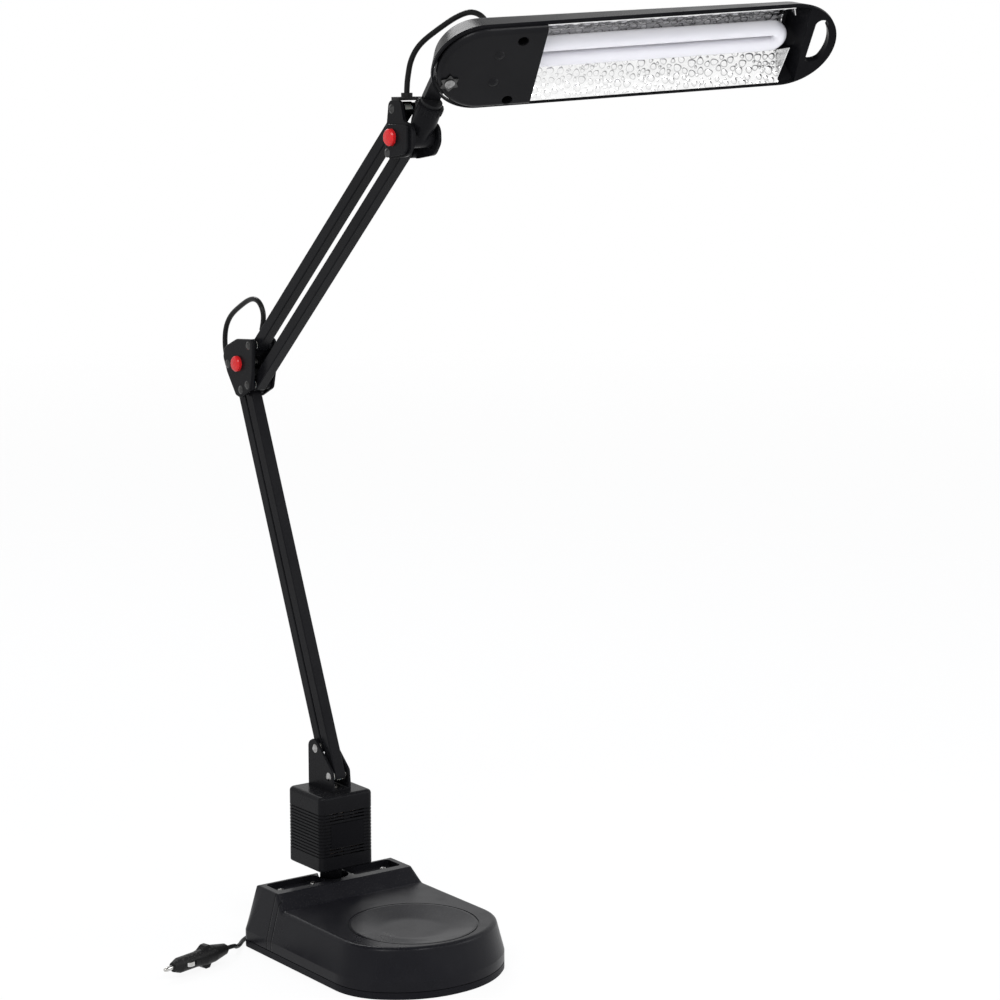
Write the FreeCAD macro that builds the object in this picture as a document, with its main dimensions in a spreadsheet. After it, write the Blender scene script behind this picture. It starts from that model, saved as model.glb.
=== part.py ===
# Fluorescent desk lamp: a weighted base, a ballast case that turns on it, two parallelogram arms
# of square tube, and a long head with a compact twin-tube lamp. Millimetres, +Z up. The origin is
# on the underside of the base, on the axis that the ballast case turns about. -Y is the front.
import FreeCAD, Part
import math
import os
import re
import Sketcher

V = FreeCAD.Vector
X_AXIS, Y_AXIS, Z_AXIS = V(1, 0, 0), V(0, 1, 0), V(0, 0, 1)
doc = FreeCAD.newDocument("DeskLamp")

# Driving dimensions

SIZES = {
    # base
    "base_half_width": 76.5, "base_rear": 19, "base_front": 186, "base_rear_corner": 9,
    "nose_start": 147.9, "nose_half_flat": 31.7, "nose_side_round": 54, "nose_front_round": 82,
    "plate_thick": 6.2, "joint_step": 0.7, "wall_straight": 14, "wall_draft": 14.6,
    "shell_height": 51.5, "shell_wall": 2.6, "deck_level": 40, "deck_foot": 34, "bar_front": 23.2,
    "deck_round": 4.2, "bar_round": 1.8, "foot_round": 4, "roof_under": 32.8, "post_round": 4.4,
    "screw_shank": 1.4, "screw_head": 3.4,
    "dish_centre": 121, "dish_round": 50, "dish_flat": 26, "dish_deep": 4.4, "dish_blend": 40,
    "ring_round": 52.4, "ring_wide": 1.2, "ring_deep": 0.7,
    "tray_inner": 13.5, "tray_outer": 61, "tray_front": 15, "tray_rear": 6, "tray_deep": 5,
    "tray_corner": 4, "well_round": 13.5, "well_level": 45.4,
    "weight_half_width": 58, "weight_rear": 20, "weight_front": 160, "weight_thick": 17,
    "pad_round": 8, "pad_thick": 1.6, "pad_x": 55, "pad_rear": 4, "pad_front": 138,
    "screw_hole": 1.8, "tray_screw_in": 19, "tray_screw_out": 51, "tray_screw_y": 2,
    "bush_outer": 11.5, "bush_low": 26, "bush_bore": 6.56, "gland_x": 34, "gland_z": 12,
    "gland_round": 4.5, "gland_hood": 3.2, "gland_long": 11,
    # ballast case
    "spigot": 6.5, "neck_round": 9.3, "neck_low": 45.8, "case_low": 62, "case_high": 126,
    "case_half": 25.8, "case_wall": 2.2, "case_round": 5, "rib_low": 74.3, "rib_pitch": 2.75,
    "rib_gap": 1.25, "rib_deep": 0.9, "label_half": 16, "label_low": 82, "label_high": 102,
    "lid_thick": 3, "choke_x": 19, "choke_y": 16, "choke_low": 68, "choke_high": 116,
    # bracket on the case
    "ear_inner": 7, "ear_thick": 2, "bracket_half": 13.5, "bracket_foot": 2, "pin": 2.5,
    "pin_bore": 2.56, "pin_head": 3.6,
    "front_pivot_y": -11.5, "front_pivot_z": 138.7, "pivot_step_y": 20.4, "pivot_step_z": 20,
    # arms
    "tube_half": 5, "tube_wall": 1, "tube_corner": 0.9, "tube_over": 5.4, "end_round": 4.6,
    "lower_long": 333.9, "lower_lean": 22.1, "upper_long": 297.1, "upper_lean": 47,
    # elbow, measured from the top pivot of the lower front bar
    "elbow_foot_y": -10.3, "elbow_foot_z": 5.1, "upper_step_y": -2.9, "upper_step_z": 33.5,
    "elbow_outer": 12, "elbow_skin": 2.6, "elbow_bolt_y": 4, "elbow_bolt_z": 21.9,
    # wrist, measured from the top pivot of the upper front bar
    "wrist_inner": 10.6, "wrist_outer": 13.2, "wrist_bolt_y": -5.4, "wrist_bolt_z": 12,
    "hub_y": -19.4, "hub_z": 12.3, "hub_round": 8.3, "hub_bore": 4.06, "trunnion": 4,
    "cap_round": 6.6, "bolt": 3, "boot_foot": 40.02, "boot_high": 5.5, "boot_y": -4.6,
    # neck and head
    "cup_round": 10, "cup_low": 14, "cup_high": 31, "spindle": 6, "spindle_bore": 6.05,
    "stem_half": 6.6, "stem_thick": 5, "head_yaw": -21.4, "head_pitch": -3.62, "head_roll": 129.4,
    "head_pivot_y": -168, "head_pivot_z": 720.5,
    "head_left": -44.2, "head_right": 198.2, "head_round": 39.5, "head_deep": 24, "head_skin": 1.6,
    "lip_deep": 2.5, "back_shift": 2, "draft_left": 10, "draft_right": 15, "back_round": 8,
    "pivot_u": -70, "pivot_w": -9, "pivot_depth": 12.5, "pivot_screw": 2.5, "pivot_bore": 2.56,
    "cover_low": -1.5, "cover_high": 3.5, "cover_round": 4.6, "cover_skin": 1.6, "cut_edge": -1.2,
    "cut_slant": 4.8, "recess_round": 4.2, "recess_floor": -4.5,
    "tube_round": 6.05, "tube_pitch": 15, "tube_w": 1, "tube_n": -12.5, "tube_end": 201,
    "reflector_start": -7, "reflector_end": 198, "sheet": 0.6,
    "grip_thick": 5.5, "grip_wall": 211, "grip_slope": 0.383, "grip_skin": 2.6,
    "mouth_low": 20, "clearance": 0.3, "switch_u": -53, "switch_w": 0, "rocker_axis": 1.5,
    "inlet_u": -36, "inlet_w": 17,
    "grommet": 4.6, "lamp_foot": -21, "lamp_block": 18,
    # cables, cord and plug
    "cable": 4.4, "cord": 3.6, "coil_outer": 25.9, "coil_pitch": 4.9, "coil_rise": 4.5, "coil_turns": 3,
    "coil_y": 72,
}


def cell_names():
    """Spreadsheet cells in one column."""
    return ["B%d" % row for row in range(1, len(SIZES) + 1)]


sheet = doc.addObject("Spreadsheet::Sheet", "Sizes")
for cell, (alias, number) in zip(cell_names(), SIZES.items()):
    sheet.set(cell.replace("B", "A"), alias)
    sheet.set(cell, str(number))
    sheet.setAlias(cell, alias)
doc.recompute()


def bind(text):
    """An expression in the sheet's names, such as 'case_half - case_wall', as the document reads it."""
    return re.sub(r"[a-z_]+", lambda word: "Sizes." + word.group(), str(text))


def num(text):
    """The present value of such an expression."""
    return float(sheet.evalExpression(bind(text)))


# Sketches and features

def part(label, placement=None):
    body = doc.addObject("PartDesign::Body", label)
    body.Label = label
    if placement:
        body.Placement = placement
    return body


def sketch_on(body, plane, name, offset="0"):
    sketch = body.newObject("Sketcher::SketchObject", body.Label + "_" + name)
    origin = [item for item in body.Origin.OriginFeatures if item.Role == plane + "_Plane"][0]
    sketch.AttachmentSupport = [(origin, "")]
    sketch.MapMode = "FlatFace"
    sketch.setExpression("AttachmentOffset.Base.z", bind(offset))
    return sketch


def fix(sketch, kind, geometry, point, text):
    """Distance of a point from the sketch's origin along one axis, bound to the sheet."""
    row = sketch.addConstraint(Sketcher.Constraint(kind, -1, 1, geometry, point, num(text)))
    if re.search("[a-z]", str(text)):
        sketch.setExpression("Constraints[%d]" % row, bind(text))


def outline(sketch, corners):
    """A closed outline. A corner is (x, y), or (x, y, radius) where it is rounded."""
    points = [V(num(corner[0]), num(corner[1]), 0) for corner in corners]
    count = len(points)
    starts, ends, arcs = list(points), list(points), {}
    for i, corner in enumerate(corners):
        if len(corner) < 3:
            continue
        back = (points[i - 1] - points[i]).normalize()
        ahead = (points[(i + 1) % count] - points[i]).normalize()
        half = back.getAngle(ahead) / 2
        radius = num(corner[2])
        ends[i] = points[i] + back * (radius / math.tan(half))
        starts[i] = points[i] + ahead * (radius / math.tan(half))
        middle = (back + ahead).normalize()
        arcs[i] = Part.Arc(ends[i], points[i] + middle * (radius / math.sin(half) - radius), starts[i])
    lines = [sketch.addGeometry(Part.LineSegment(starts[i], ends[(i + 1) % count])) for i in range(count)]
    for i, corner in enumerate(corners):
        before, after = lines[i - 1], lines[i]
        if i not in arcs:
            sketch.addConstraint(Sketcher.Constraint("Coincident", before, 2, after, 1))
            fix(sketch, "DistanceX", after, 1, corner[0])
            fix(sketch, "DistanceY", after, 1, corner[1])
            continue
        arc = sketch.addGeometry(arcs[i])
        first = 1 if sketch.getPoint(arc, 1).distanceToPoint(ends[i]) < 1e-6 else 2
        sketch.addConstraint(Sketcher.Constraint("Tangent", before, 2, arc, first))
        sketch.addConstraint(Sketcher.Constraint("Tangent", arc, 3 - first, after, 1))
        row = sketch.addConstraint(Sketcher.Constraint("Radius", arc, num(corner[2])))
        if re.search("[a-z]", str(corner[2])):
            sketch.setExpression("Constraints[%d]" % row, bind(corner[2]))
        mark = sketch.addGeometry(Part.Point(points[i]), True)
        sketch.addConstraint(Sketcher.Constraint("PointOnObject", mark, 1, before))
        sketch.addConstraint(Sketcher.Constraint("PointOnObject", mark, 1, after))
        fix(sketch, "DistanceX", mark, 1, corner[0])
        fix(sketch, "DistanceY", mark, 1, corner[1])


def circle(sketch, x, y, radius):
    ring = sketch.addGeometry(Part.Circle(V(num(x), num(y), 0), Z_AXIS, num(radius)))
    fix(sketch, "DistanceX", ring, 3, x)
    fix(sketch, "DistanceY", ring, 3, y)
    row = sketch.addConstraint(Sketcher.Constraint("Radius", ring, num(radius)))
    if re.search("[a-z]", str(radius)):
        sketch.setExpression("Constraints[%d]" % row, bind(radius))


def pad(body, sketch, length, both_ways=False, draft=None):
    feature = body.newObject("PartDesign::Pad", sketch.Label + "_pad")
    feature.Profile = sketch
    feature.setExpression("Length", bind(length))
    if both_ways:
        feature.SideType = "Symmetric"
    if draft:
        feature.setExpression("TaperAngle", bind(draft))
    doc.recompute()
    return feature


def cut(body, kind, sketch, **settings):
    """A pocket or groove, which must take material away."""
    before = body.Shape.Volume
    feature = body.newObject("PartDesign::" + kind, sketch.Label + "_cut")
    feature.Profile = sketch
    for name, setting in settings.items():
        if name in ("Length", "Length2"):
            feature.setExpression(name, bind(setting))
        else:
            setattr(feature, name, setting)
    doc.recompute()
    if body.Shape.Volume > before - 0.01:
        raise ValueError(feature.Label + " takes nothing away")
    return feature


def through(body, sketch):
    return cut(body, "Pocket", sketch, SideType="Symmetric", Type="ThroughAll")


def pocket(body, sketch, length, upward=False):
    return cut(body, "Pocket", sketch, Length=length, Reversed=upward)


def smooth(body, radius, wanted, kind="Fillet"):
    """Rounds or chamfers the edges of the body that the test picks."""
    base = body.Tip
    names = ["Edge%d" % (i + 1) for i, edge in enumerate(base.Shape.Edges) if wanted(edge)]
    feature = body.newObject("PartDesign::" + kind, "%s_%s" % (body.Label, kind.lower()))
    feature.Base = (base, names)
    feature.setExpression("Radius" if kind == "Fillet" else "Size", bind(radius))
    doc.recompute()
    return feature


def turned(label, profile, placement=None):
    """A solid of revolution about its own Z axis; the profile's corners are (radius, height)."""
    body = part(label, placement)
    sketch = sketch_on(body, "XZ", "profile")
    outline(sketch, profile)
    feature = body.newObject("PartDesign::Revolution", label + "_turn")
    feature.Profile = sketch
    feature.ReferenceAxis = (sketch, ["V_Axis"])
    feature.Angle = 360
    doc.recompute()
    return body


def plate(label, plane, corners, thick, placement=None, offset="0", both_ways=False):
    body = part(label, placement)
    sketch = sketch_on(body, plane, "outline", offset)
    outline(sketch, corners)
    pad(body, sketch, thick, both_ways)
    return body


def along(axis, at):
    """A placement that carries a turned piece's Z axis to the given direction."""
    return FreeCAD.Placement(at, FreeCAD.Rotation(Z_AXIS, axis))


def group(label, pieces):
    """Identical pieces that share one node."""
    bundle = doc.addObject("Part::Compound", label)
    bundle.Label = label
    bundle.Links = pieces
    doc.recompute()
    return bundle


def fixed_shape(label, shape, placement=None):
    item = doc.addObject("Part::Feature", label)
    item.Label = label
    item.Shape = shape
    if placement:
        item.Placement = placement
    return item


def level(edge, height):
    return all(abs(vertex.Z - height) < 0.01 for vertex in edge.Vertexes)


NODES = []


def node(item):
    NODES.append(item)
    return item


# Base: bottom plate, drafted shell with pen trays and dish, iron weight, socket for the neck

def base_corners(inset="0"):
    """The base seen from above: square rear corners, and a front of three tangent arcs."""
    side = "base_half_width - (%s)" % inset
    flat = "nose_half_flat - 0.3 * (%s)" % inset
    rear = "base_rear - (%s)" % inset
    front = "-base_front + (%s)" % inset
    start = "-nose_start + 0.3 * (%s)" % inset
    corner = "base_rear_corner - (%s) * 0.8" % inset
    side_round = "nose_side_round - (%s)" % inset
    front_round = "nose_front_round - (%s)" % inset
    return [(side, rear, corner), ("-(%s)" % side, rear, corner), ("-(%s)" % side, start, side_round),
            ("-(%s)" % flat, front, front_round), (flat, front, front_round), (side, start, side_round)]


def pad_places():
    return [(x, y) for x in ("-pad_x", "pad_x") for y in ("-pad_rear", "-pad_front")]


def base_plate():
    body = plate("base_plate", "XY", base_corners(), "plate_thick - joint_step")
    lip = sketch_on(body, "XY", "lip", "plate_thick - joint_step")
    outline(lip, base_corners("joint_step"))
    pad(body, lip, "joint_step")
    pads = sketch_on(body, "XY", "pads")
    for x, y in pad_places():
        circle(pads, x, y, "pad_round + 0.1")
    pocket(body, pads, "pad_thick", True)
    holes = sketch_on(body, "XY", "holes")
    recesses = sketch_on(body, "XY", "recesses")
    for x, y in screw_places():
        circle(holes, x, y, "screw_shank")
        circle(recesses, x, y, "screw_head + 0.1")
    pocket(body, recesses, "2", True)
    through(body, holes)
    return body


def base_screws():
    """Countersunk screws that hold the plate to the posts of the shell."""
    return group("base_screws", [turned("base_screw_%d" % (i + 1),
                 [("0", "0.4"), ("screw_head", "0.4"), ("screw_head", "2"), ("screw_shank", "2"),
                  ("screw_shank", "14"), ("0", "14")],
                 FreeCAD.Placement(V(num(x), num(y), 0), FreeCAD.Rotation()))
                 for i, (x, y) in enumerate(screw_places())])


def screw_places():
    return [(x, y) for x in ("-pad_x + 16", "pad_x - 16") for y in ("-pad_rear", "-pad_front - 6")]


def base_shell():
    body = part("base_shell")
    straight = sketch_on(body, "XY", "straight", "plate_thick")
    outline(straight, base_corners())
    pad(body, straight, "wall_straight - plate_thick")
    drafted = sketch_on(body, "XY", "drafted", "wall_straight")
    outline(drafted, base_corners())
    pad(body, drafted, "shell_height - wall_straight", draft="-wall_draft")
    deck = sketch_on(body, "YZ", "deck")
    outline(deck, [("-deck_foot", "deck_level", "foot_round"),
                   ("-bar_front + 4", "shell_height + 4"), ("-base_front - 10", "shell_height + 4"),
                   ("-base_front - 10", "deck_level")])
    through(body, deck)
    smooth(body, "deck_round", lambda edge: level(edge, num("deck_level")) and edge.Length > 3
           and edge.CenterOfMass.y < -num("deck_foot") - 5)
    smooth(body, "bar_round", lambda edge: level(edge, num("shell_height")))
    hollow = sketch_on(body, "XY", "hollow", "plate_thick")
    outline(hollow, base_corners("shell_wall"))
    cut(body, "Pocket", hollow, Length="roof_under - plate_thick", Reversed=True, TaperAngle=-num("wall_draft") * 0.6)
    posts = sketch_on(body, "XY", "posts", "plate_thick")
    pilots = sketch_on(body, "XY", "pilots", "plate_thick")
    for x, y in screw_places():
        circle(posts, x, y, "post_round")
        circle(pilots, x, y, "screw_shank")
    pad(body, posts, "roof_under - plate_thick + 1")
    pocket(body, pilots, "12", True)
    trays = sketch_on(body, "XY", "trays", "shell_height")
    for side in ("-", ""):
        outline(trays, [(side + "tray_inner", "-tray_front", "tray_corner"),
                        (side + "tray_outer", "-tray_front", "tray_corner"),
                        (side + "tray_outer", "tray_rear", "tray_corner"),
                        (side + "tray_inner", "tray_rear", "tray_corner")])
    pocket(body, trays, "tray_deep")
    well = sketch_on(body, "XY", "well", "shell_height")
    circle(well, "0", "-2", "well_round")
    pocket(body, well, "shell_height - well_level")
    socket = sketch_on(body, "XY", "socket", "shell_height")
    circle(socket, "0", "0", "bush_outer")
    through(body, socket)
    screws = sketch_on(body, "XY", "screws", "shell_height")
    for x in ("tray_screw_in", "tray_screw_out"):
        for side in ("-", ""):
            circle(screws, side + x, "-tray_screw_y", "screw_hole")
    through(body, screws)
    gland = sketch_on(body, "XZ", "gland", "-base_rear - 5")
    circle(gland, "gland_x", "gland_z", "gland_hood")
    pocket(body, gland, "12", True)
    dish = sketch_on(body, "XZ", "dish", "dish_centre")
    outline(dish, [("0", "deck_level - dish_deep"), ("dish_flat", "deck_level - dish_deep", "dish_blend"),
                   ("dish_round", "deck_level"), ("dish_round", "deck_level + 2"), ("0", "deck_level + 2")])
    cut(body, "Groove", dish, ReferenceAxis=(dish, ["V_Axis"]), Angle=360)
    ring = sketch_on(body, "XZ", "ring", "dish_centre")
    outline(ring, [("ring_round - ring_wide / 2", "deck_level - ring_deep"),
                   ("ring_round + ring_wide / 2", "deck_level - ring_deep"),
                   ("ring_round + ring_wide / 2", "deck_level + 1"),
                   ("ring_round - ring_wide / 2", "deck_level + 1")])
    cut(body, "Groove", ring, ReferenceAxis=(ring, ["V_Axis"]), Angle=360)
    return body


def base_weight():
    body = plate("base_weight", "XY",
                 [("weight_half_width", "-weight_rear", 8), ("-weight_half_width", "-weight_rear", 8),
                  ("-weight_half_width", "-weight_front + 40"), ("-nose_half_flat", "-weight_front"),
                  ("nose_half_flat", "-weight_front"), ("weight_half_width", "-weight_front + 40")],
                 "weight_thick", offset="plate_thick")
    holes = sketch_on(body, "XY", "holes", "plate_thick")
    for x in ("-pad_x + 16", "pad_x - 16"):
        circle(holes, x, "-pad_front - 6", "screw_hole + 3")
    through(body, holes)
    return body


def base_pads():
    return group("foot_pads", [turned("foot_pad_%d" % (i + 1),
                 [("0", "0"), ("pad_round", "0"), ("pad_round", "pad_thick"), ("0", "pad_thick")],
                 FreeCAD.Placement(V(num(x), num(y), 0), FreeCAD.Rotation()))
                 for i, (x, y) in enumerate(pad_places())])


def pan_screw(label, long, placement):
    """A small screw with a domed head and a cross slot left plain."""
    return turned(label, [("0", "-(%s)" % long), ("1.4", "-(%s)" % long), ("1.4", "0"), ("2.9", "0"),
                          ("2.9", "0.7"), ("1.9", "1.6", 1.4), ("0", "1.9")], placement)


def screw_row(label, places, height, long, axis=Z_AXIS):
    return group(label, [pan_screw("%s_%d" % (label, i + 1), long, along(axis, V(num(x), num(y), num(height))))
                         for i, (x, y) in enumerate(places)])


def socket_bush():
    return turned("socket_bush", [("bush_bore", "bush_low"), ("bush_outer - 0.05", "bush_low"),
                                  ("bush_outer - 0.05", "well_level - 0.1"), ("bush_bore", "well_level - 0.1")])


def cord_gland():
    """The moulded strain relief at the foot of the rear wall."""
    return turned("cord_gland", [("cord / 2 + 0.05", "-6"), ("gland_hood - 0.05", "-6"),
                                 ("gland_hood - 0.05", "0.3"), ("gland_round", "0.3"), ("gland_round", "2"),
                                 ("2.9", "gland_long"), ("cord / 2 + 0.05", "gland_long")],
                  along(Y_AXIS, V(num("gland_x"), num("base_rear"), num("gland_z"))))


# Ballast case, which turns on the base and carries the arm bracket

def neck_spigot():
    return turned("neck_spigot", [("0", "bush_low - 4"), ("spigot", "bush_low - 4"), ("spigot", "neck_low"),
                                  ("neck_round + 1.4", "neck_low"), ("neck_round + 1.4", "neck_low + 1.5"),
                                  ("neck_round", "neck_low + 3"), ("neck_round", "case_low"), ("0", "case_low")])


def spigot_clip():
    """The ring that keeps the spigot in its bush."""
    return turned("spigot_clip", [("spigot", "bush_low - 2.6"), ("spigot + 3.4", "bush_low - 2.6"),
                                  ("spigot + 3.4", "bush_low - 1"), ("spigot", "bush_low - 1")])


def square(half, corner):
    return [("%s%s" % (sx, half), "%s%s" % (sy, half), corner) for sx, sy in
            (("", ""), ("-", ""), ("-", "-"), ("", "-"))]


def ballast_case():
    body = plate("ballast_case", "XY", square("case_half", "case_round"), "case_high - case_low",
                 offset="case_low")
    smooth(body, "case_round * 0.7", lambda edge: level(edge, num("case_high")))
    smooth(body, "case_round * 0.4", lambda edge: level(edge, num("case_low")))
    hollow = sketch_on(body, "XY", "hollow", "case_low")
    outline(hollow, square("(case_half - case_wall)", "case_round - 1.5"))
    pocket(body, hollow, "case_high - case_low - case_wall - 1", True)
    gap = sketch_on(body, "XY", "rib_gap", "rib_low")
    outline(gap, square("(case_half + 3)", "2"))
    outline(gap, square("(case_half - rib_deep)", "case_round - rib_deep"))
    groove = pocket(body, gap, "rib_gap", True)
    rows = body.newObject("PartDesign::LinearPattern", "ballast_case_ribs")
    rows.Originals = [groove]
    rows.Direction = (gap, ["N_Axis"])
    rows.Length = 13 * num("rib_pitch")
    rows.Occurrences = 14
    body.Tip = rows
    doc.recompute()
    for name, low in (("upper_vents", "rib_low + 11 * rib_pitch"), ("lower_vents", "rib_low")):
        vents = sketch_on(body, "XZ", name, "case_half - 8")
        for row in range(3):
            floor = "%s + %d * rib_pitch" % (low, row)
            for side in ("-", ""):
                outline(vents, [(side + "3", floor), (side + "(label_half + 1)", floor),
                                (side + "(label_half + 1)", floor + " + rib_gap"), (side + "3", floor + " + rib_gap")])
        pocket(body, vents, "12", True)
    label = sketch_on(body, "XZ", "label", "case_half - 1.1")
    outline(label, [("-label_half", "label_low", 1), ("label_half", "label_low", 1),
                    ("label_half", "label_high", 1), ("-label_half", "label_high", 1)])
    pocket(body, label, "3", True)
    screws = sketch_on(body, "XY", "screws", "case_high")
    for y in bracket_screws():
        circle(screws, "0", y, "screw_hole")
    pocket(body, screws, "case_wall + 2")
    return body


def bracket_screws():
    return "-7", "12"


def label_plate():
    return plate("label_plate", "XZ",
                 [("-label_half + 0.1", "label_low + 0.1", 0.9), ("label_half - 0.1", "label_low + 0.1", 0.9),
                  ("label_half - 0.1", "label_high - 0.1", 0.9), ("-label_half + 0.1", "label_high - 0.1", 0.9)],
                 "1", offset="case_half - 1.1")


def case_lid():
    """The bottom plate of the ballast case, on which the choke stands."""
    half = "(case_half - case_wall - 0.1)"
    body = plate("case_lid", "XY", square(half, "case_round - 1.6"), "lid_thick", offset="case_low + 0.01")
    return body


def ballast():
    """The choke: a block of laminations with the winding's ends rounded at both sides."""
    body = plate("ballast", "XY", [("-choke_x", "-choke_y", 1), ("choke_x", "-choke_y", 1),
                                   ("choke_x", "choke_y", 1), ("-choke_x", "choke_y", 1)],
                 "choke_high - choke_low", offset="choke_low")
    winding = sketch_on(body, "YZ", "winding", "-choke_x - 3")
    outline(winding, [("-choke_y + 4", "choke_low + 8", 5), ("choke_y - 4", "choke_low + 8", 5),
                      ("choke_y - 4", "choke_high - 8", 5), ("-choke_y + 4", "choke_high - 8", 5)])
    pad(body, winding, "2 * choke_x + 6")
    feet = sketch_on(body, "XY", "feet", "case_low + lid_thick + 0.01")
    outline(feet, [("-choke_x - 3", "-6"), ("choke_x + 3", "-6"), ("choke_x + 3", "6"), ("-choke_x - 3", "6")])
    pad(body, feet, "choke_low - case_low - lid_thick")
    return body


def arm_bracket():
    """A folded steel channel whose two ears hold the lower bars."""
    outer = "(ear_inner + ear_thick)"
    body = part("arm_bracket")
    ears = sketch_on(body, "YZ", "ears")
    rear = "front_pivot_y + pivot_step_y"
    top = "front_pivot_z + pivot_step_z"
    outline(ears, [("-17.5", "case_high"), ("19", "case_high"), ("19", top + " + 4", 6),
                   (rear + " + 1", top + " + 9", 5), ("-16.5", "front_pivot_z + 5", 5),
                   ("-17.5", "front_pivot_z - 5", 3)])
    pad(body, ears, "2 * " + outer, True)
    slot = sketch_on(body, "XZ", "slot", "-30")
    outline(slot, [("-ear_inner", "case_high + bracket_foot", 1), ("ear_inner", "case_high + bracket_foot", 1),
                   ("ear_inner", "200"), ("-ear_inner", "200")])
    cut(body, "Pocket", slot, Length="60", Reversed=True)
    holes = sketch_on(body, "YZ", "pivots")
    circle(holes, "front_pivot_y", "front_pivot_z", "pin")
    circle(holes, rear, top, "pin")
    through(body, holes)
    screws = sketch_on(body, "XY", "screws", "case_high + bracket_foot")
    for y in bracket_screws():
        circle(screws, "0", y, "screw_hole")
    pocket(body, screws, "bracket_foot + 1")
    return body


def cross_pin(label, y, z, reach):
    """A riveted pin along X through (y, z), with a domed head outside each plate."""
    end = "(%s)" % reach
    profile = [("0", "-%s - 1.4" % end), ("1.6", "-%s - 1.4" % end), ("pin_head", "-%s - 0.01" % end),
               ("pin", "-%s - 0.01" % end), ("pin", end + " + 0.01"), ("pin_head", end + " + 0.01"),
               ("1.6", end + " + 1.4"), ("0", end + " + 1.4")]
    return turned(label, profile, along(X_AXIS, V(0, y, z)))


# Arms: four square tubes, each with a bush in both ends

def arm_bar(label, long, lean, foot):
    placement = FreeCAD.Placement(V(0, foot[0], foot[1]), FreeCAD.Rotation(X_AXIS, lean))
    body = part(label, placement)
    side = sketch_on(body, "YZ", "side")
    outline(side, [("tube_half", "-tube_over", "end_round"), ("tube_half", long + " + tube_over", "end_round"),
                   ("-tube_half", long + " + tube_over", "end_round"), ("-tube_half", "-tube_over", "end_round")])
    pad(body, side, "2 * tube_half", True)
    smooth(body, "tube_corner", lambda edge: edge.Length > num(long) - 5)
    bore = sketch_on(body, "XY", "bore", "-tube_over")
    outline(bore, [(sx + "(tube_half - tube_wall)", sy + "(tube_half - tube_wall)") for sx, sy in
                   (("", ""), ("-", ""), ("-", "-"), ("", "-"))])
    through(body, bore)
    holes = sketch_on(body, "YZ", "holes")
    circle(holes, "0", "0", "pin + 1.3")
    circle(holes, "0", long, "pin + 1.3")
    through(body, holes)
    bushes = group(label + "_bushes", [
        turned("%s_bush_%d" % (label, i + 1),
               [("pin_bore", "-tube_half - 0.6"), ("pin + 1.3", "-tube_half - 0.6"),
                ("pin + 1.3", "tube_half + 0.6"), ("pin_bore", "tube_half + 0.6")],
               placement.multiply(along(X_AXIS, V(0, 0, at))))
        for i, at in enumerate((0, num(long)))])
    return body, bushes


# Elbow: two moulded half shells round both pairs of pivots

def elbow_outline():
    """Side view of the elbow from the top pivot of the lower front bar: y to the rear, z up."""
    return [("28.5", "25.6", 6), ("22", "12.5", 8), ("8.6", "-5.4", 4), ("1.5", "-7.1", 6),
            ("-16.1", "1.6", 5), ("-19.5", "15.6", 6), ("-20.5", "44.6", 4), ("6.8", "42.6", 9),
            ("25.8", "34.5", 7)]


def elbow_shell(label, side, at):
    """One half: a side plate with bosses for the four pivots and the bolt, and a closed rear edge."""
    body = part(label, FreeCAD.Placement(at, FreeCAD.Rotation()))
    inner = "(elbow_outer - elbow_skin)"
    low = inner if side > 0 else "-elbow_outer"
    skin = sketch_on(body, "YZ", "skin", low)
    outline(skin, elbow_outline())
    pad(body, skin, "elbow_skin")
    outer_x = side * num("elbow_outer")
    smooth(body, "1.4", lambda edge: all(abs(v.X - outer_x) < 0.01 for v in edge.Vertexes))
    bosses = sketch_on(body, "YZ", "bosses", "6" if side > 0 else "-" + inner)
    for y, z in elbow_pivots():
        circle(bosses, y, z, "pin + 2.2")
    circle(bosses, "elbow_bolt_y", "elbow_bolt_z", "bolt + 2.6")
    pad(body, bosses, inner + " - 6")
    back = sketch_on(body, "YZ", "back", "0.05" if side > 0 else "-" + inner)
    outline(back, [("26.6", "24.5"), ("27.2", "27.6", 4), ("25", "33.9", 6), ("8.2", "41.1"),
                   ("7.4", "38.7"), ("22.8", "31.9", 3.6), ("24.6", "27.4", 3), ("24.3", "24.5")])
    pad(body, back, inner + " - 0.05")
    holes = sketch_on(body, "YZ", "pins")
    for y, z in elbow_pivots():
        circle(holes, y, z, "pin")
    circle(holes, "elbow_bolt_y", "elbow_bolt_z", "bolt")
    through(body, holes)
    return body


def elbow_pivots():
    return [("0", "0"), ("pivot_step_y", "pivot_step_z"), ("elbow_foot_y", "elbow_foot_z"),
            ("elbow_foot_y + upper_step_y", "elbow_foot_z + upper_step_z")]


def clamp_bolt(label, reach, at):
    return turned(label, [("0", "-%s - 2" % reach), ("bolt + 2", "-%s - 2" % reach), ("bolt + 2", "-" + reach),
                          ("bolt", "-" + reach), ("bolt", reach + " + 4.6"), ("0", reach + " + 4.6")],
                  along(X_AXIS, at))


def clamp_nut(label, reach, at):
    """A hexagon nut on the right-hand end of the clamp bolt."""
    body = part(label, along(X_AXIS, at))
    sketch = sketch_on(body, "XY", "hexagon", reach + " + 0.02")
    corners = [("%.4f * 5.8" % math.cos(math.radians(60 * i)), "%.4f * 5.8" % math.sin(math.radians(60 * i)))
               for i in range(6)]
    outline(sketch, corners)
    circle(sketch, "0", "0", "bolt")
    pad(body, sketch, "3.8")
    return body


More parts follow.
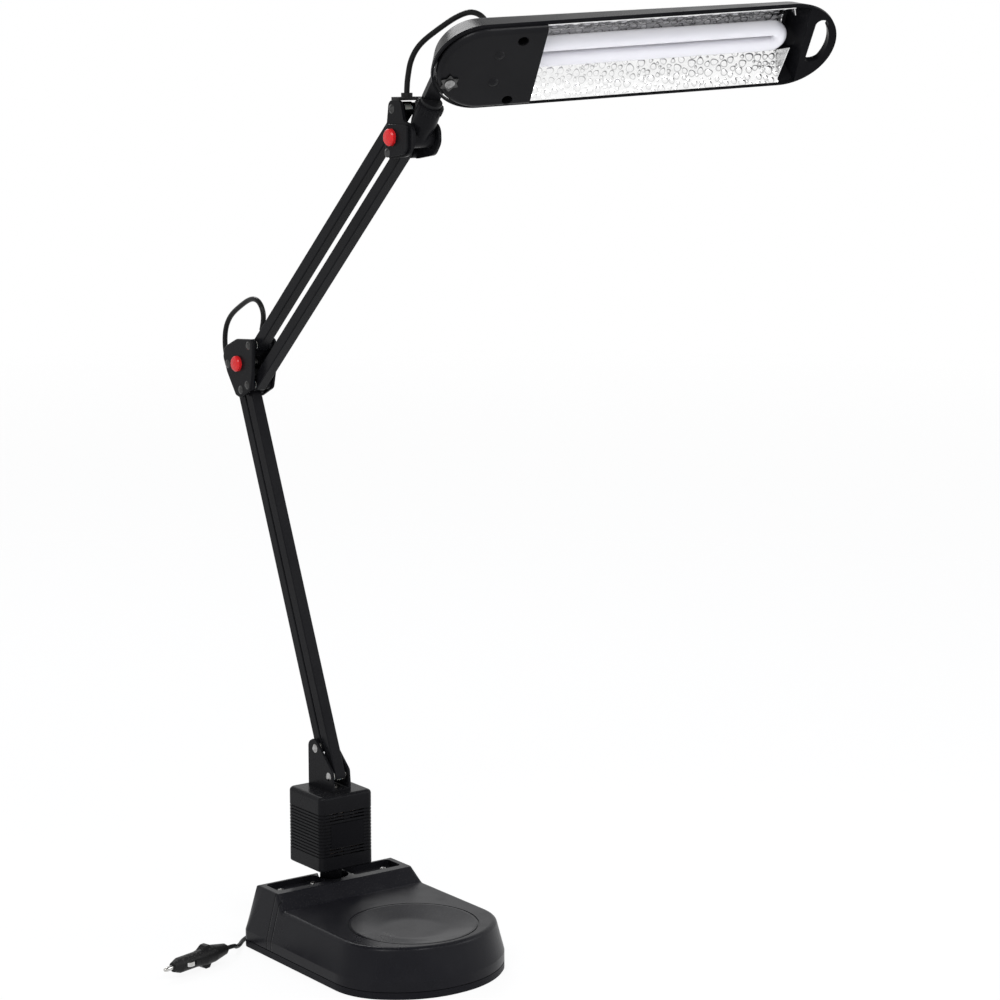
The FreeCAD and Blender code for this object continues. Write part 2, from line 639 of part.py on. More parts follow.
def clamp_cap(label, reach, at):
    """The domed plastic cap over the bolt's head."""
    return turned(label, [("bolt + 2.05", "-%s - 0.02" % reach), ("cap_round", "-%s - 0.02" % reach),
                          ("cap_round", "-%s - 2.4" % reach), ("cap_round - 1.2", "-%s - 3.8" % reach, 1.5),
                          ("0", "-%s - 4.4" % reach), ("0", "-%s - 2.1" % reach),
                          ("bolt + 2.05", "-%s - 2.1" % reach)], along(X_AXIS, at))


# Wrist: two plates that join the upper bars and grip the neck's hub

def wrist_outline():
    """Side view from the top pivot of the upper front bar."""
    return [("3.6", "22", 5), ("4.4", "2", 6), ("0.5", "-5.5", 5), ("-9", "-4", 8), ("-25", "-1.5", 9),
            ("-32", "8", 9), ("-31.5", "22", 9), ("-19", "24.6", 3), ("-14.5", "40", 4), ("0.8", "40", 5)]


def wrist_plate(label, side, at):
    body = part(label, FreeCAD.Placement(at, FreeCAD.Rotation()))
    low = "wrist_inner" if side > 0 else "-wrist_outer"
    flat = sketch_on(body, "YZ", "flat", low)
    outline(flat, wrist_outline())
    pad(body, flat, "wrist_outer - wrist_inner")
    outer_x = side * num("wrist_outer")
    raised = sketch_on(body, "YZ", "raised", "wrist_outer" if side > 0 else "-wrist_outer - 2.2")
    outline(raised, [("2.6", "21.8", 4), ("3", "3", 5), ("-1", "-3.4", 4), ("-9", "-2.4", 6), ("-23.5", "0", 7),
                     ("-27", "4", 4), ("-27", "22.6", 3)])
    pad(body, raised, "2.2")
    face = outer_x + side * 2.2
    smooth(body, "0.9", lambda edge: all(abs(v.X - face) < 0.01 for v in edge.Vertexes))
    bosses = sketch_on(body, "YZ", "bosses", "6" if side > 0 else "-wrist_inner")
    for y, z in wrist_pivots():
        circle(bosses, y, z, "pin + 2.2")
    pad(body, bosses, "wrist_inner - 6")
    stub = sketch_on(body, "YZ", "trunnion", "wrist_inner - 4" if side > 0 else "-wrist_inner")
    circle(stub, "hub_y", "hub_z", "trunnion")
    pad(body, stub, "4")
    holes = sketch_on(body, "YZ", "pins")
    for y, z in wrist_pivots():
        circle(holes, y, z, "pin")
    circle(holes, "wrist_bolt_y", "wrist_bolt_z", "bolt")
    through(body, holes)
    return body


def wrist_pivots():
    return [("0", "0"), ("upper_step_y", "upper_step_z")]


def cable_boot(at):
    """The rubber sleeve on top of the wrist that the head's cable comes out of."""
    body = part("cable_boot", FreeCAD.Placement(at, FreeCAD.Rotation()))
    foot = sketch_on(body, "XY", "foot", "boot_foot")
    outline(foot, [("wrist_outer", "-11.5", 2), ("wrist_outer", "-1.5", 2),
                   ("-wrist_outer", "-1.5", 2), ("-wrist_outer", "-11.5", 2)])
    pad(body, foot, "2.5")
    sleeve = sketch_on(body, "XY", "sleeve", "boot_foot + 2.5")
    circle(sleeve, "0", "boot_y", "4.4")
    pad(body, sleeve, "boot_high - 2.5")
    hole = sketch_on(body, "XY", "hole", "boot_foot + boot_high")
    circle(hole, "0", "boot_y", "cable / 2 + 0.05")
    pocket(body, hole, "5")
    return body


# Neck: the knuckle tilts in the wrist, the stem swivels in the knuckle's cup

def neck_knuckle(at):
    """Local Z is the neck's axis; the hub lies along X through the local origin."""
    body = part("neck_knuckle", at)
    hub = sketch_on(body, "YZ", "hub")
    circle(hub, "0", "0", "hub_round")
    pad(body, hub, "2 * wrist_inner - 0.6", True)
    cup = sketch_on(body, "XZ", "cup", "0")
    outline(cup, [("0", "2"), ("hub_round - 0.6", "2"), ("cup_round", "cup_low", 3), ("cup_round", "cup_high - 6"),
                  ("cup_round - 0.8", "cup_high - 6"), ("cup_round - 0.8", "cup_high - 5"),
                  ("cup_round", "cup_high - 5"), ("cup_round", "cup_high", 1), ("0", "cup_high")])
    turn = body.newObject("PartDesign::Revolution", "neck_knuckle_cup_turn")
    turn.Profile = cup
    turn.ReferenceAxis = (cup, ["V_Axis"])
    turn.Angle = 360
    doc.recompute()
    bores = sketch_on(body, "YZ", "bores")
    circle(bores, "0", "0", "hub_bore")
    through(body, bores)
    socket = sketch_on(body, "XY", "socket", "cup_high")
    circle(socket, "0", "0", "spindle_bore")
    pocket(body, socket, "cup_high - cup_low + 2")
    return body


def neck_stem(at, long, bend):
    """A spindle in the cup, a collar on it, and a flat tongue, slightly bent, with the head's pivot hole."""
    body = part("neck_stem", at)
    spindle = sketch_on(body, "XY", "spindle", "cup_low - 1.6")
    circle(spindle, "0", "0", "spindle")
    pad(body, spindle, "cup_high - cup_low + 4")
    collar = sketch_on(body, "XY", "collar", "cup_high + 0.3")
    circle(collar, "0", "0", "cup_round - 1.6")
    pad(body, collar, "2.6")
    tongue = sketch_on(body, "XZ", "tongue")
    tongue.AttachmentOffset = FreeCAD.Placement(V(0, long, 0), FreeCAD.Rotation(X_AXIS, bend))
    foot = "cup_high + 2 - %.3f" % long
    outline(tongue, [("-stem_half", foot), ("stem_half", foot),
                     ("stem_half", "stem_half + 0.4", "stem_half - 0.4"),
                     ("-stem_half", "stem_half + 0.4", "stem_half - 0.4")])
    pad(body, tongue, "stem_thick", True)
    hole = sketch_on(body, "XZ", "hole")
    hole.AttachmentOffset = tongue.AttachmentOffset
    circle(hole, "0", "0", "pivot_bore")
    through(body, hole)
    return body


# Head: a long capsule shell, open below, with reflector, lamp and end cover

def capsule(left, right, left_round, right_round, height):
    """An elongated outline with half-round ends, as a wire parallel to the head's face."""
    a, b = V(left, left_round, height), V(right, right_round, height)
    c, d = V(right, -right_round, height), V(left, -left_round, height)
    return Part.Wire([Part.LineSegment(a, b).toShape(),
                      Part.Arc(b, V(right + right_round, 0, height), c).toShape(),
                      Part.LineSegment(c, d).toShape(),
                      Part.Arc(d, V(left - left_round, 0, height), a).toShape()])


def flat_edges(solid, height):
    return [edge for edge in solid.Edges if all(abs(v.Z - height) < 0.01 for v in edge.Vertexes)]


def head_block(inset, high):
    """The head's form less an inset: a straight lip, sides that lean in, and a rounded back."""
    left, right, around = num("head_left"), num("head_right"), num("head_round") - inset
    lip, low = -num("lip_deep"), inset - num("head_deep")
    rim = capsule(left, right, around, around, lip)
    back = capsule(left - num("back_shift"), right, around - num("draft_left"),
                   around - num("draft_right"), low)
    lean = Part.makeLoft([rim, back], True, True)
    lean = lean.makeFillet(num("back_round") - inset, flat_edges(lean, low))
    return lean.fuse(Part.Face(rim).extrude(V(0, 0, high - lip))).removeSplitter()


def beyond_wall(offset, high):
    """All that lies to the right of the hollow's slanted end wall, up to a height."""
    low, far, slope = -40, 260, num("grip_slope")
    foot = num("grip_wall") + offset
    corners = [V(foot + slope * high, -50, high), V(foot + slope * low, -50, low), V(far, -50, low),
               V(far, -50, high)]
    return Part.Face(Part.makePolygon(corners + corners[:1])).extrude(V(0, 100, 0))


def head_housing():
    """The shell with its grip, and a mouth at the left for the neck."""
    deep, skin = num("head_deep"), num("head_skin")
    outer = head_block(0, 0).cut(beyond_wall(num("grip_skin"), -num("grip_thick")))
    shell = outer.cut(head_block(skin, 1).cut(beyond_wall(0, 5))).cut(grip_slot(-50, 5))
    mouth = Part.makeBox(60, 60, num("mouth_low") - num("lip_deep") - 0.1, V(-104, -64, -num("mouth_low")))
    shell = shell.cut(mouth)
    pivot = V(num("pivot_u"), num("pivot_w"), 0.6 - deep)
    boss_high = deep - 0.6 - num("pivot_depth") - num("stem_thick") / 2 - num("clearance")
    shell = shell.fuse(Part.makeCylinder(6.5, boss_high, pivot).common(outer))
    shell = shell.cut(Part.makeCylinder(num("pivot_screw"), 16, pivot + V(0, 0, 2.4)))
    u, w = num("switch_u"), num("switch_w")
    shell = shell.cut(Part.makeBox(11, 19, 8, V(u - 5.5, w - 9.5, -deep - 1)))
    shell = shell.cut(Part.makeCylinder(num("grommet") - 1, 8, V(num("inlet_u"), num("inlet_w"), -deep - 1)))
    return shell.removeSplitter()


def grip_slot(low, high):
    """The hand slot: straight towards the lamp, and parallel to the head's round end outside."""
    a, b = V(215.6, -16, low), V(217.6, 19.5, low)
    c, d = V(227.4, 16, low), V(227, -15, low)
    edges = [Part.LineSegment(a, b).toShape(), Part.Arc(b, V(222.5, 23.4, low), c).toShape(),
             Part.Arc(c, V(231.2, 1, low), d).toShape(), Part.Arc(d, V(221, -17.6, low), a).toShape()]
    return Part.Face(Part.Wire(edges)).extrude(V(0, 0, high - low))


def cover_block(inset, low):
    """The end cover's form less an inset, cut off on a slant beside the lamp."""
    around = num("head_round - head_skin - 0.1") - inset
    high, left = num("cover_high") - inset, num("head_left + 2")
    block = Part.Face(capsule(left, 20, around, around, low)).extrude(V(0, 0, high - low))
    block = block.makeFillet(num("cover_round") - inset, flat_edges(block, high))
    keep = Part.makeBox(160, 120, 60, V(num("cut_edge") - inset - 160, -60, -30))
    keep.rotate(V(num("cut_edge"), 0, 0), Z_AXIS, -num("cut_slant"))
    return block.common(keep)


def end_cover():
    """The hollow cover over lampholder and pivot, with two sunk screws and two pips."""
    room = head_block(num("head_skin") + 0.1, num("cover_high") - num("cover_skin") / 2)
    floor = num("recess_floor")
    cover = cover_block(0, num("cover_low")).cut(cover_block(num("cover_skin"), num("cover_low") - 1))
    pivot = V(num("pivot_u"), num("pivot_w"), 0)
    boss_low = num("stem_thick") / 2 + num("clearance") - num("pivot_depth")
    cover = cover.fuse(Part.makeCylinder(6.5, 40, pivot + V(0, 0, boss_low)).common(room))
    for u, w in cover_screws():
        cover = cover.fuse(Part.makeCylinder(num("recess_round") + 1.4, 40, V(u, w, floor - 2)).common(room))
        cover = cover.cut(Part.makeCylinder(num("recess_round"), 20, V(u, w, floor)))
        cover = cover.cut(Part.makeCylinder(1.5, 40, V(u, w, floor - 20)))
    for u, w in (-33.5, 14), (-35.5, -12):
        pip = Part.makeSphere(5, V(u, w, num("cover_high") - 3))
        cover = cover.fuse(pip.common(Part.makeBox(20, 20, 20, V(u - 10, w - 10, num("cover_high") - 1))))
    return cover.cut(Part.makeCylinder(num("pivot_screw"), 40, pivot - V(0, 0, 20))).removeSplitter()


def cover_screws():
    return (-16.7, 26.2), (-22.5, -30.7)


def star_washer(at):
    """The star-shaped pressing under the pivot screw's head."""
    body = part("pivot_star", at)
    sketch = sketch_on(body, "XY", "star", "cover_high + 0.01")
    points = []
    for i in range(12):
        reach, angle = 8.2 if i % 2 else 5.2, math.radians(30 * i)
        points.append(("pivot_u + %.3f" % (reach * math.cos(angle)),
                       "pivot_w + %.3f" % (reach * math.sin(angle)), 0.8))
    outline(sketch, points)
    circle(sketch, "pivot_u", "pivot_w", "pivot_screw")
    pad(body, sketch, "1.3")
    return body


def pivot_screw(at):
    """The screw that the head turns on, from the cover to the boss in the back."""
    seat = "cover_high + 1.32"
    return turned("pivot_screw", [("0", "3 - head_deep"), ("pivot_screw", "3 - head_deep"), ("pivot_screw", seat),
                                  ("3.9", seat), ("3.9", seat + " + 0.9"), ("2.4", seat + " + 1.9"),
                                  ("0", seat + " + 2.1")],
                  at.multiply(along(Z_AXIS, V(num("pivot_u"), num("pivot_w"), 0))))


def reflector(at):
    """A bright sheet bent to a trough behind the lamp, with a turned-in flank at each side's end."""
    body = part("reflector_trough", at)
    profile = sketch_on(body, "YZ", "profile", "reflector_start")
    outline(profile, [("37.3", "-0.3"), ("24.4", "-20.6", 7), ("-24.4", "-20.6", 7), ("-37.3", "-0.3"),
                      ("-37.3 + sheet", "-0.3"), ("-24.4 + 0.6 * sheet", "-20.6 + sheet", 6.4),
                      ("24.4 - 0.6 * sheet", "-20.6 + sheet", 6.4), ("37.3 - sheet", "-0.3")])
    pad(body, profile, "reflector_end - reflector_start")
    end = num("reflector_end")
    flanks = []
    for name, corners in (("lower", [V(end - 0.5, -35.3, -3), V(end - 0.5, -25, -19), V(end + 5, -7, -6)]),
                          ("upper", [V(end - 0.5, 35.3, -3), V(end - 0.5, 29, -13), V(end + 3, 26, -5)])):
        face = Part.Face(Part.makePolygon(corners + corners[:1]))
        flanks.append(fixed_shape("reflector_flank_" + name, face.extrude(face.normalAt(0, 0) * 0.6), at))
    whole = doc.addObject("Part::MultiFuse", "reflector")
    whole.Label = "reflector"
    whole.Shapes = [body] + flanks
    doc.recompute()
    return whole


def lampholder(at):
    """The socket block that the lamp's base plugs into."""
    body = part("lampholder", at)
    block = sketch_on(body, "YZ", "block", "lamp_foot - 26")
    outline(block, [("tube_w - 11.5", "head_skin - head_deep", 2), ("tube_w + 11.5", "head_skin - head_deep", 2),
                    ("tube_w + 11.5", "tube_n + 7.5", 2), ("tube_w - 11.5", "tube_n + 7.5", 2)])
    pad(body, block, "25.9")
    cavity = sketch_on(body, "YZ", "cavity", "lamp_foot - 0.1")
    outline(cavity, [("tube_w - 6.3", "tube_n - 5.3", 1), ("tube_w + 6.3", "tube_n - 5.3", 1),
                     ("tube_w + 6.3", "tube_n + 5.3", 1), ("tube_w - 6.3", "tube_n + 5.3", 1)])
    pocket(body, cavity, "23.5")
    return body


def lamp_base(at):
    """The lamp's moulded foot: a block that the tubes stand in and a post that fills the socket."""
    body = part("lamp_base", at)
    block = sketch_on(body, "YZ", "block", "lamp_foot")
    outline(block, [("tube_w - 16", "tube_n - 7", 3), ("tube_w + 16", "tube_n - 7", 3),
                    ("tube_w + 16", "tube_n + 7", 3), ("tube_w - 16", "tube_n + 7", 3)])
    pad(body, block, "lamp_block")
    post = sketch_on(body, "YZ", "post", "lamp_foot - 23")
    outline(post, [("tube_w - 6.2", "tube_n - 5.2", 1), ("tube_w + 6.2", "tube_n - 5.2", 1),
                   ("tube_w + 6.2", "tube_n + 5.2", 1), ("tube_w - 6.2", "tube_n + 5.2", 1)])
    pad(body, post, "23.1")
    return body


def lamp_tube(at):
    """One glass tube bent back on itself: two limbs and a half-round end."""
    foot, end = num("lamp_foot + lamp_block"), num("tube_end") - num("tube_round") - num("tube_pitch") / 2
    w, n, half = num("tube_w"), num("tube_n"), num("tube_pitch") / 2
    path = Part.Wire([Part.LineSegment(V(foot, w - half, n), V(end, w - half, n)).toShape(),
                      Part.Arc(V(end, w - half, n), V(end + half, w, n), V(end, w + half, n)).toShape(),
                      Part.LineSegment(V(end, w + half, n), V(foot, w + half, n)).toShape()])
    return fixed_shape("lamp_tube", tube(path, 2 * num("tube_round")), at)


def switch_frame(at):
    """The frame of the rocker switch, set in the head's back."""
    body = part("switch_frame", at)
    flange = sketch_on(body, "XY", "flange", "-head_deep - 1.2")
    outline(flange, [("switch_u + 6.8", "switch_w + 10.8", 1), ("switch_u - 6.8", "switch_w + 10.8", 1),
                     ("switch_u - 6.8", "switch_w - 10.8", 1), ("switch_u + 6.8", "switch_w - 10.8", 1)])
    pad(body, flange, "1.2")
    case = sketch_on(body, "XY", "case", "-head_deep")
    outline(case, [("switch_u + 5.4", "switch_w + 9.4"), ("switch_u - 5.4", "switch_w + 9.4"),
                   ("switch_u - 5.4", "switch_w - 9.4"), ("switch_u + 5.4", "switch_w - 9.4")])
    pad(body, case, "9")
    window = sketch_on(body, "XY", "window", "-head_deep - 1.2")
    outline(window, [("switch_u + 4.6", "switch_w + 8.2"), ("switch_u - 4.6", "switch_w + 8.2"),
                     ("switch_u - 4.6", "switch_w - 8.2"), ("switch_u + 4.6", "switch_w - 8.2")])
    pocket(body, window, "8.5", True)
    pivots = sketch_on(body, "YZ", "pivots", "switch_u")
    circle(pivots, "switch_w", "rocker_axis - head_deep", "1.05")
    through(body, pivots)
    return body


def switch_rocker(at):
    """The rocker, pressed down at one end; it tips on two pins in the frame's side walls."""
    body = part("switch_rocker", at)
    side = sketch_on(body, "YZ", "side", "switch_u")
    outline(side, [("switch_w - 6.6", "-head_deep + 2.5"), ("switch_w + 6.6", "-head_deep + 2.5"),
                   ("switch_w + 7.5", "-head_deep - 0.9", 0.6), ("switch_w", "-head_deep - 0.4", 12),
                   ("switch_w - 6.9", "-head_deep - 2.9", 0.6)])
    pad(body, side, "8.6", True)
    pins = sketch_on(body, "YZ", "pins", "switch_u")
    circle(pins, "switch_w", "rocker_axis - head_deep", "1")
    pad(body, pins, "10.6", True)
    return body


def cable_grommet(at):
    """The bush in the head's back that the cable enters by."""
    return turned("cable_grommet", [("cable / 2 + 0.05", "-4"), ("grommet - 1.05", "-4"), ("grommet - 1.05", "0.02"),
                                    ("grommet", "0.02"), ("grommet - 0.4", "2"), ("3.1", "7"),
                                    ("cable / 2 + 0.05", "7")],
                  at.multiply(along(V(0, 0, -1), V(num("inlet_u"), num("inlet_w"), -num("head_deep")))))


# Free cord: straight runs joined by tangent arcs, and a wound coil

def round_route(points, smallest):
    """A wire through the points' runs, each corner rounded by as large an arc as its runs allow."""
    runs = [points[i + 1] - points[i] for i in range(len(points) - 1)]
    edges, last = [], points[0]
    radii = []
    for i in range(1, len(points) - 1):
        back, ahead = runs[i - 1], runs[i]
        turn = back.getAngle(ahead)
        cutoff = 0.45 * min(back.Length, ahead.Length)
        radius = cutoff / math.tan(turn / 2)
        radii.append(radius)
        start = points[i] - V(back).normalize() * cutoff
        end = points[i] + V(ahead).normalize() * cutoff
        inward = (V(ahead).normalize() - V(back).normalize()).normalize()
        middle = points[i] + inward * (radius / math.cos(turn / 2) - radius)
        edges.append(Part.LineSegment(last, start).toShape())
        edges.append(Part.Arc(start, middle, end).toShape())
        last = end
    edges.append(Part.LineSegment(last, points[-1]).toShape())
    if min(radii) < smallest:
        print("  tight turn: %.1f mm" % min(radii))
    return Part.Wire(edges), radii


def tube(wire, diameter):
    """A round cord along a wire."""
    start = wire.Edges[0].valueAt(wire.Edges[0].FirstParameter)
    direction = wire.Edges[0].tangentAt(wire.Edges[0].FirstParameter)
    ring = Part.Wire([Part.Circle(start, direction, diameter / 2).toShape()])
    return wire.makePipeShell([ring], True, False)


def cord_node(label, points, diameter):
    wire, radii = round_route([V(*point) for point in points], 5 * diameter)
    solid = tube(wire, diameter)
    expected = math.pi * diameter ** 2 / 4 * wire.Length
    print("%s: length %.0f mm, radii %.1f to %.1f mm, volume %.4f of section times length"
          % (label, wire.Length, min(radii), max(radii), solid.Volume / expected))
    return fixed_shape(label, solid)


def loose_coil(label, centre, diameter):
    """A lead put away: one tube wound in four layers that spiral in, out, in and out again."""
    step = num("coil_pitch") / 2
    rise, half_turns = num("coil_rise"), int(num("coil_turns")) * 2
    radius, height, side = num("coil_outer"), 0.0, 1
    stops = [(radius, height)]
    for layer in range(4):
        for _ in range(half_turns):
            radius += step if layer % 2 else -step
            stops.append((radius, height))
        if layer < 3:
            height += rise
            stops.append((radius, height))
    places = []
    for reach, up in stops:
        places.append(centre + V(side * reach, 0, up))
        side = -side
    headings = [V(0, 1 if i % 2 == 0 else -1, 0) for i in range(len(places))]
    edges = [Part.LineSegment(places[0] - headings[0] * diameter, places[0]).toShape()]
    for i in range(len(places) - 1):
        edges += half_turn(places[i], headings[i], places[i + 1], headings[i + 1])
    edges.append(Part.LineSegment(places[-1], places[-1] + headings[-1] * diameter).toShape())
    wire = Part.Wire(edges)
    solid = tube(wire, diameter)
    print("%s: length %.0f mm, least gap to itself %.2f mm, volume %.4f of section times length"
          % (label, wire.Length, least_gap(wire, diameter),
             solid.Volume / (math.pi * diameter ** 2 / 4 * wire.Length)))
    return fixed_shape(label, solid), edges[0].Vertexes[0].Point, edges[-1].Vertexes[-1].Point


def half_turn(start, heading, end, last_heading):
    """Two tangent arcs of a quarter turn each, from one side of the coil to the other."""
    reach = (end - start).Length / 2
    joint = (start + heading * reach + end - last_heading * reach) * 0.5
    middle_heading = (end - last_heading * reach - start - heading * reach).normalize()
    return [tangent_arc(start, heading, joint), tangent_arc(joint, middle_heading, end)]


def tangent_arc(start, heading, end):
    chord = end - start
    angle = heading.getAngle(chord)
    along_chord = V(chord).normalize()
    outward = (heading - along_chord * heading.dot(along_chord)).normalize()
    middle = start + chord * 0.5 + outward * (chord.Length / 2 * math.tan(angle / 2))
    return Part.Arc(start, middle, end).toShape()


def least_gap(wire, diameter):
    """The least distance between turns of the wound tube, measured on points along it."""
    points, distances, travelled = [], [], 0.0
    for edge in wire.Edges:
        count = max(2, int(edge.Length / 2))
        points += edge.discretize(count)[:-1]
        distances += [travelled + edge.Length * i / (count - 1) for i in range(count - 1)]
        travelled += edge.Length
    gap = 1e9
    for i in range(len(points)):
        for j in range(i + 1, len(points)):
            if distances[j] - distances[i] > 6 * diameter:
                gap = min(gap, (points[i] - points[j]).Length)
    return gap - diameter


# Plug: a slim low-voltage plug with a pin at its tip and a spring contact on each side

def plug_pieces(at):
    body = turned("plug_body", [("cord / 2 + 0.05", "0"), ("2.6", "0", 0.6), ("4.6", "3"), ("7.2", "17", 6),
                                ("7.6", "28", 6), ("6.3", "36"), ("6.3", "55", 1.5), ("4", "61.5"),
                                ("2.05", "61.5"), ("2.05", "46.5"), ("cord / 2 + 0.05", "46.5")], at)
    wings = sketch_on(body, "YZ", "wings", "-3.2")
    for side in ("-", ""):
        outline(wings, [(side + "5", "20"), (side + "9.6", "23", 1), (side + "9.6", "27.5", 1), (side + "5", "34")])
    pad(body, wings, "6.4")
    slots = sketch_on(body, "XZ", "slots")
    outline(slots, [("-12", "41"), ("-4.4", "41"), ("-4.4", "51"), ("-12", "51")])
    outline(slots, [("12", "41"), ("4.4", "41"), ("4.4", "51"), ("12", "51")])
    cut(body, "Pocket", slots, Length="3.6", SideType="Symmetric")
    node(body)
    node(turned("plug_pin", [("0", "50.1"), ("2", "50.1"), ("2", "68"), ("1.3", "70.8", 0.8), ("0", "71.3")], at))
    contacts = []
    for i, side in enumerate((-1, 1)):
        spring = part("plug_contact_%d" % (i + 1), at)
        sketch = sketch_on(spring, "XZ", "strip")
        outline(sketch, [("%g" % (side * 4.5), "41.2"), ("%g" % (side * 7.3), "44", 1.5),
                         ("%g" % (side * 7.3), "48", 1.5), ("%g" % (side * 4.5), "50.8")])
        pad(spring, sketch, "3.4", True)
        contacts.append(spring)
    node(group("plug_contacts", contacts))


# Assembly

up = V(0, 0, 1)
lower_foot = (num("front_pivot_y"), num("front_pivot_z"))


def swung(foot, long, lean):
    """The far pivot of a bar that leans forward by an angle in degrees."""
    return (foot[0] - long * math.sin(math.radians(lean)), foot[1] + long * math.cos(math.radians(lean)))


def shifted(point, y, z):
    return (point[0] + num(y), point[1] + num(z))


lower_lean, upper_lean = -num("lower_lean"), num("upper_lean")
lower_rear_foot = shifted(lower_foot, "pivot_step_y", "pivot_step_z")
elbow_at = swung(lower_foot, num("lower_long"), lower_lean)
upper_foot = shifted(elbow_at, "elbow_foot_y", "elbow_foot_z")
upper_rear_foot = shifted(upper_foot, "upper_step_y", "upper_step_z")
wrist_at = swung(upper_foot, num("upper_long"), upper_lean)
hub_at = shifted(wrist_at, "hub_y", "hub_z")
print("pivots y, z:", [tuple(round(v, 2) for v in p) for p in
      (lower_foot, lower_rear_foot, elbow_at, upper_foot, upper_rear_foot, wrist_at, hub_at)])

node(base_plate())
node(base_shell())
node(base_weight())
node(base_pads())
node(base_screws())
node(screw_row("tray_screws", [(side + x, "-tray_screw_y") for x in ("tray_screw_in", "tray_screw_out")
                               for side in ("-", "")], "shell_height - tray_deep", "9"))
node(socket_bush())
node(cord_gland())

node(neck_spigot())
node(spigot_clip())
node(ballast_case())
node(label_plate())
node(case_lid())
node(ballast())
node(arm_bracket())
node(screw_row("bracket_screws", [("0", y) for y in bracket_screws()], "case_high + bracket_foot", "4.5"))
node(group("bracket_pins", [cross_pin("bracket_pin_%d" % (i + 1), y, z, "(ear_inner + ear_thick)")
                            for i, (y, z) in enumerate((lower_foot, lower_rear_foot))]))

for label, long, lean, foot in (("lower_front_bar", "lower_long", lower_lean, lower_foot),
                                ("lower_rear_bar", "lower_long", lower_lean, lower_rear_foot),
                                ("upper_front_bar", "upper_long", upper_lean, upper_foot),
                                ("upper_rear_bar", "upper_long", upper_lean, upper_rear_foot)):
    for item in arm_bar(label, long, lean, foot):
        node(item)

elbow = V(0, *elbow_at)
node(elbow_shell("elbow_shell_left", -1, elbow))
node(elbow_shell("elbow_shell_right", 1, elbow))
node(group("elbow_pins", [cross_pin("elbow_pin_%d" % (i + 1), elbow_at[0] + num(y), elbow_at[1] + num(z),
                                    "elbow_outer") for i, (y, z) in enumerate(elbow_pivots())]))
elbow_bolt_at = elbow + V(0, num("elbow_bolt_y"), num("elbow_bolt_z"))
node(clamp_bolt("elbow_bolt", "elbow_outer", elbow_bolt_at))
node(clamp_nut("elbow_nut", "elbow_outer", elbow_bolt_at))
node(clamp_cap("elbow_cap", "elbow_outer", elbow_bolt_at))

wrist = V(0, *wrist_at)
node(wrist_plate("wrist_plate_left", -1, wrist))
node(wrist_plate("wrist_plate_right", 1, wrist))
node(group("wrist_pins", [cross_pin("wrist_pin_%d" % (i + 1), wrist_at[0] + num(y), wrist_at[1] + num(z), reach)
                          for i, ((y, z), reach) in enumerate(zip(wrist_pivots(),
                                                                  ("(wrist_outer + 2.2)", "wrist_outer")))]))
wrist_bolt_at = wrist + V(0, num("wrist_bolt_y"), num("wrist_bolt_z"))
node(clamp_bolt("wrist_bolt", "(wrist_outer + 2.2)", wrist_bolt_at))
node(clamp_nut("wrist_nut", "(wrist_outer + 2.2)", wrist_bolt_at))
node(clamp_cap("wrist_cap", "(wrist_outer + 2.2)", wrist_bolt_at))
node(cable_boot(wrist))

# The head hangs on a pivot in the plane of the arms; the neck runs from the wrist's hub to it.
hub = V(0, *hub_at)
pivot = V(0, num("head_pivot_y"), num("head_pivot_z"))
head_turn = FreeCAD.Rotation(num("head_yaw"), num("head_pitch"), num("head_roll"))
head_at = FreeCAD.Placement(pivot - head_turn.multVec(V(num("pivot_u"), num("pivot_w"), -num("pivot_depth"))),
                            head_turn)
neck_line = pivot - hub
neck_axis = V(neck_line).normalize()
neck_lean = math.degrees(math.atan2(-neck_line.y, neck_line.z))
face = head_turn.multVec(Z_AXIS)
stem_back = (neck_axis * face.dot(neck_axis) - face).normalize()
stem_turn = FreeCAD.Rotation(stem_back.cross(neck_axis), stem_back, neck_axis, "XYZ")
stem_bend = -math.degrees(math.asin(face.dot(neck_axis)))
print("neck leans %.2f, length %.2f, tongue bent %.2f, head face %s" % (neck_lean, neck_line.Length, stem_bend,
                                                                       tuple(round(v, 4) for v in face)))
print("head pivot", tuple(round(v, 2) for v in pivot), "head origin", tuple(round(v, 2) for v in head_at.Base))
node(neck_knuckle(FreeCAD.Placement(hub, FreeCAD.Rotation(X_AXIS, neck_lean))))
node(neck_stem(FreeCAD.Placement(hub, stem_turn), neck_line.Length, stem_bend))

node(fixed_shape("head_housing", head_housing(), head_at))
node(fixed_shape("end_cover", end_cover(), head_at))
node(group("cover_screws", [pan_screw("cover_screw_%d" % (i + 1), "6",
                                      head_at.multiply(along(Z_AXIS, V(u, w, num("recess_floor")))))
                            for i, (u, w) in enumerate(cover_screws())]))
node(pivot_screw(head_at))
node(star_washer(head_at))
node(reflector(head_at))
node(lampholder(head_at))
node(lamp_base(head_at))
node(lamp_tube(head_at))
node(switch_frame(head_at))
node(switch_rocker(head_at))
node(cable_grommet(head_at))

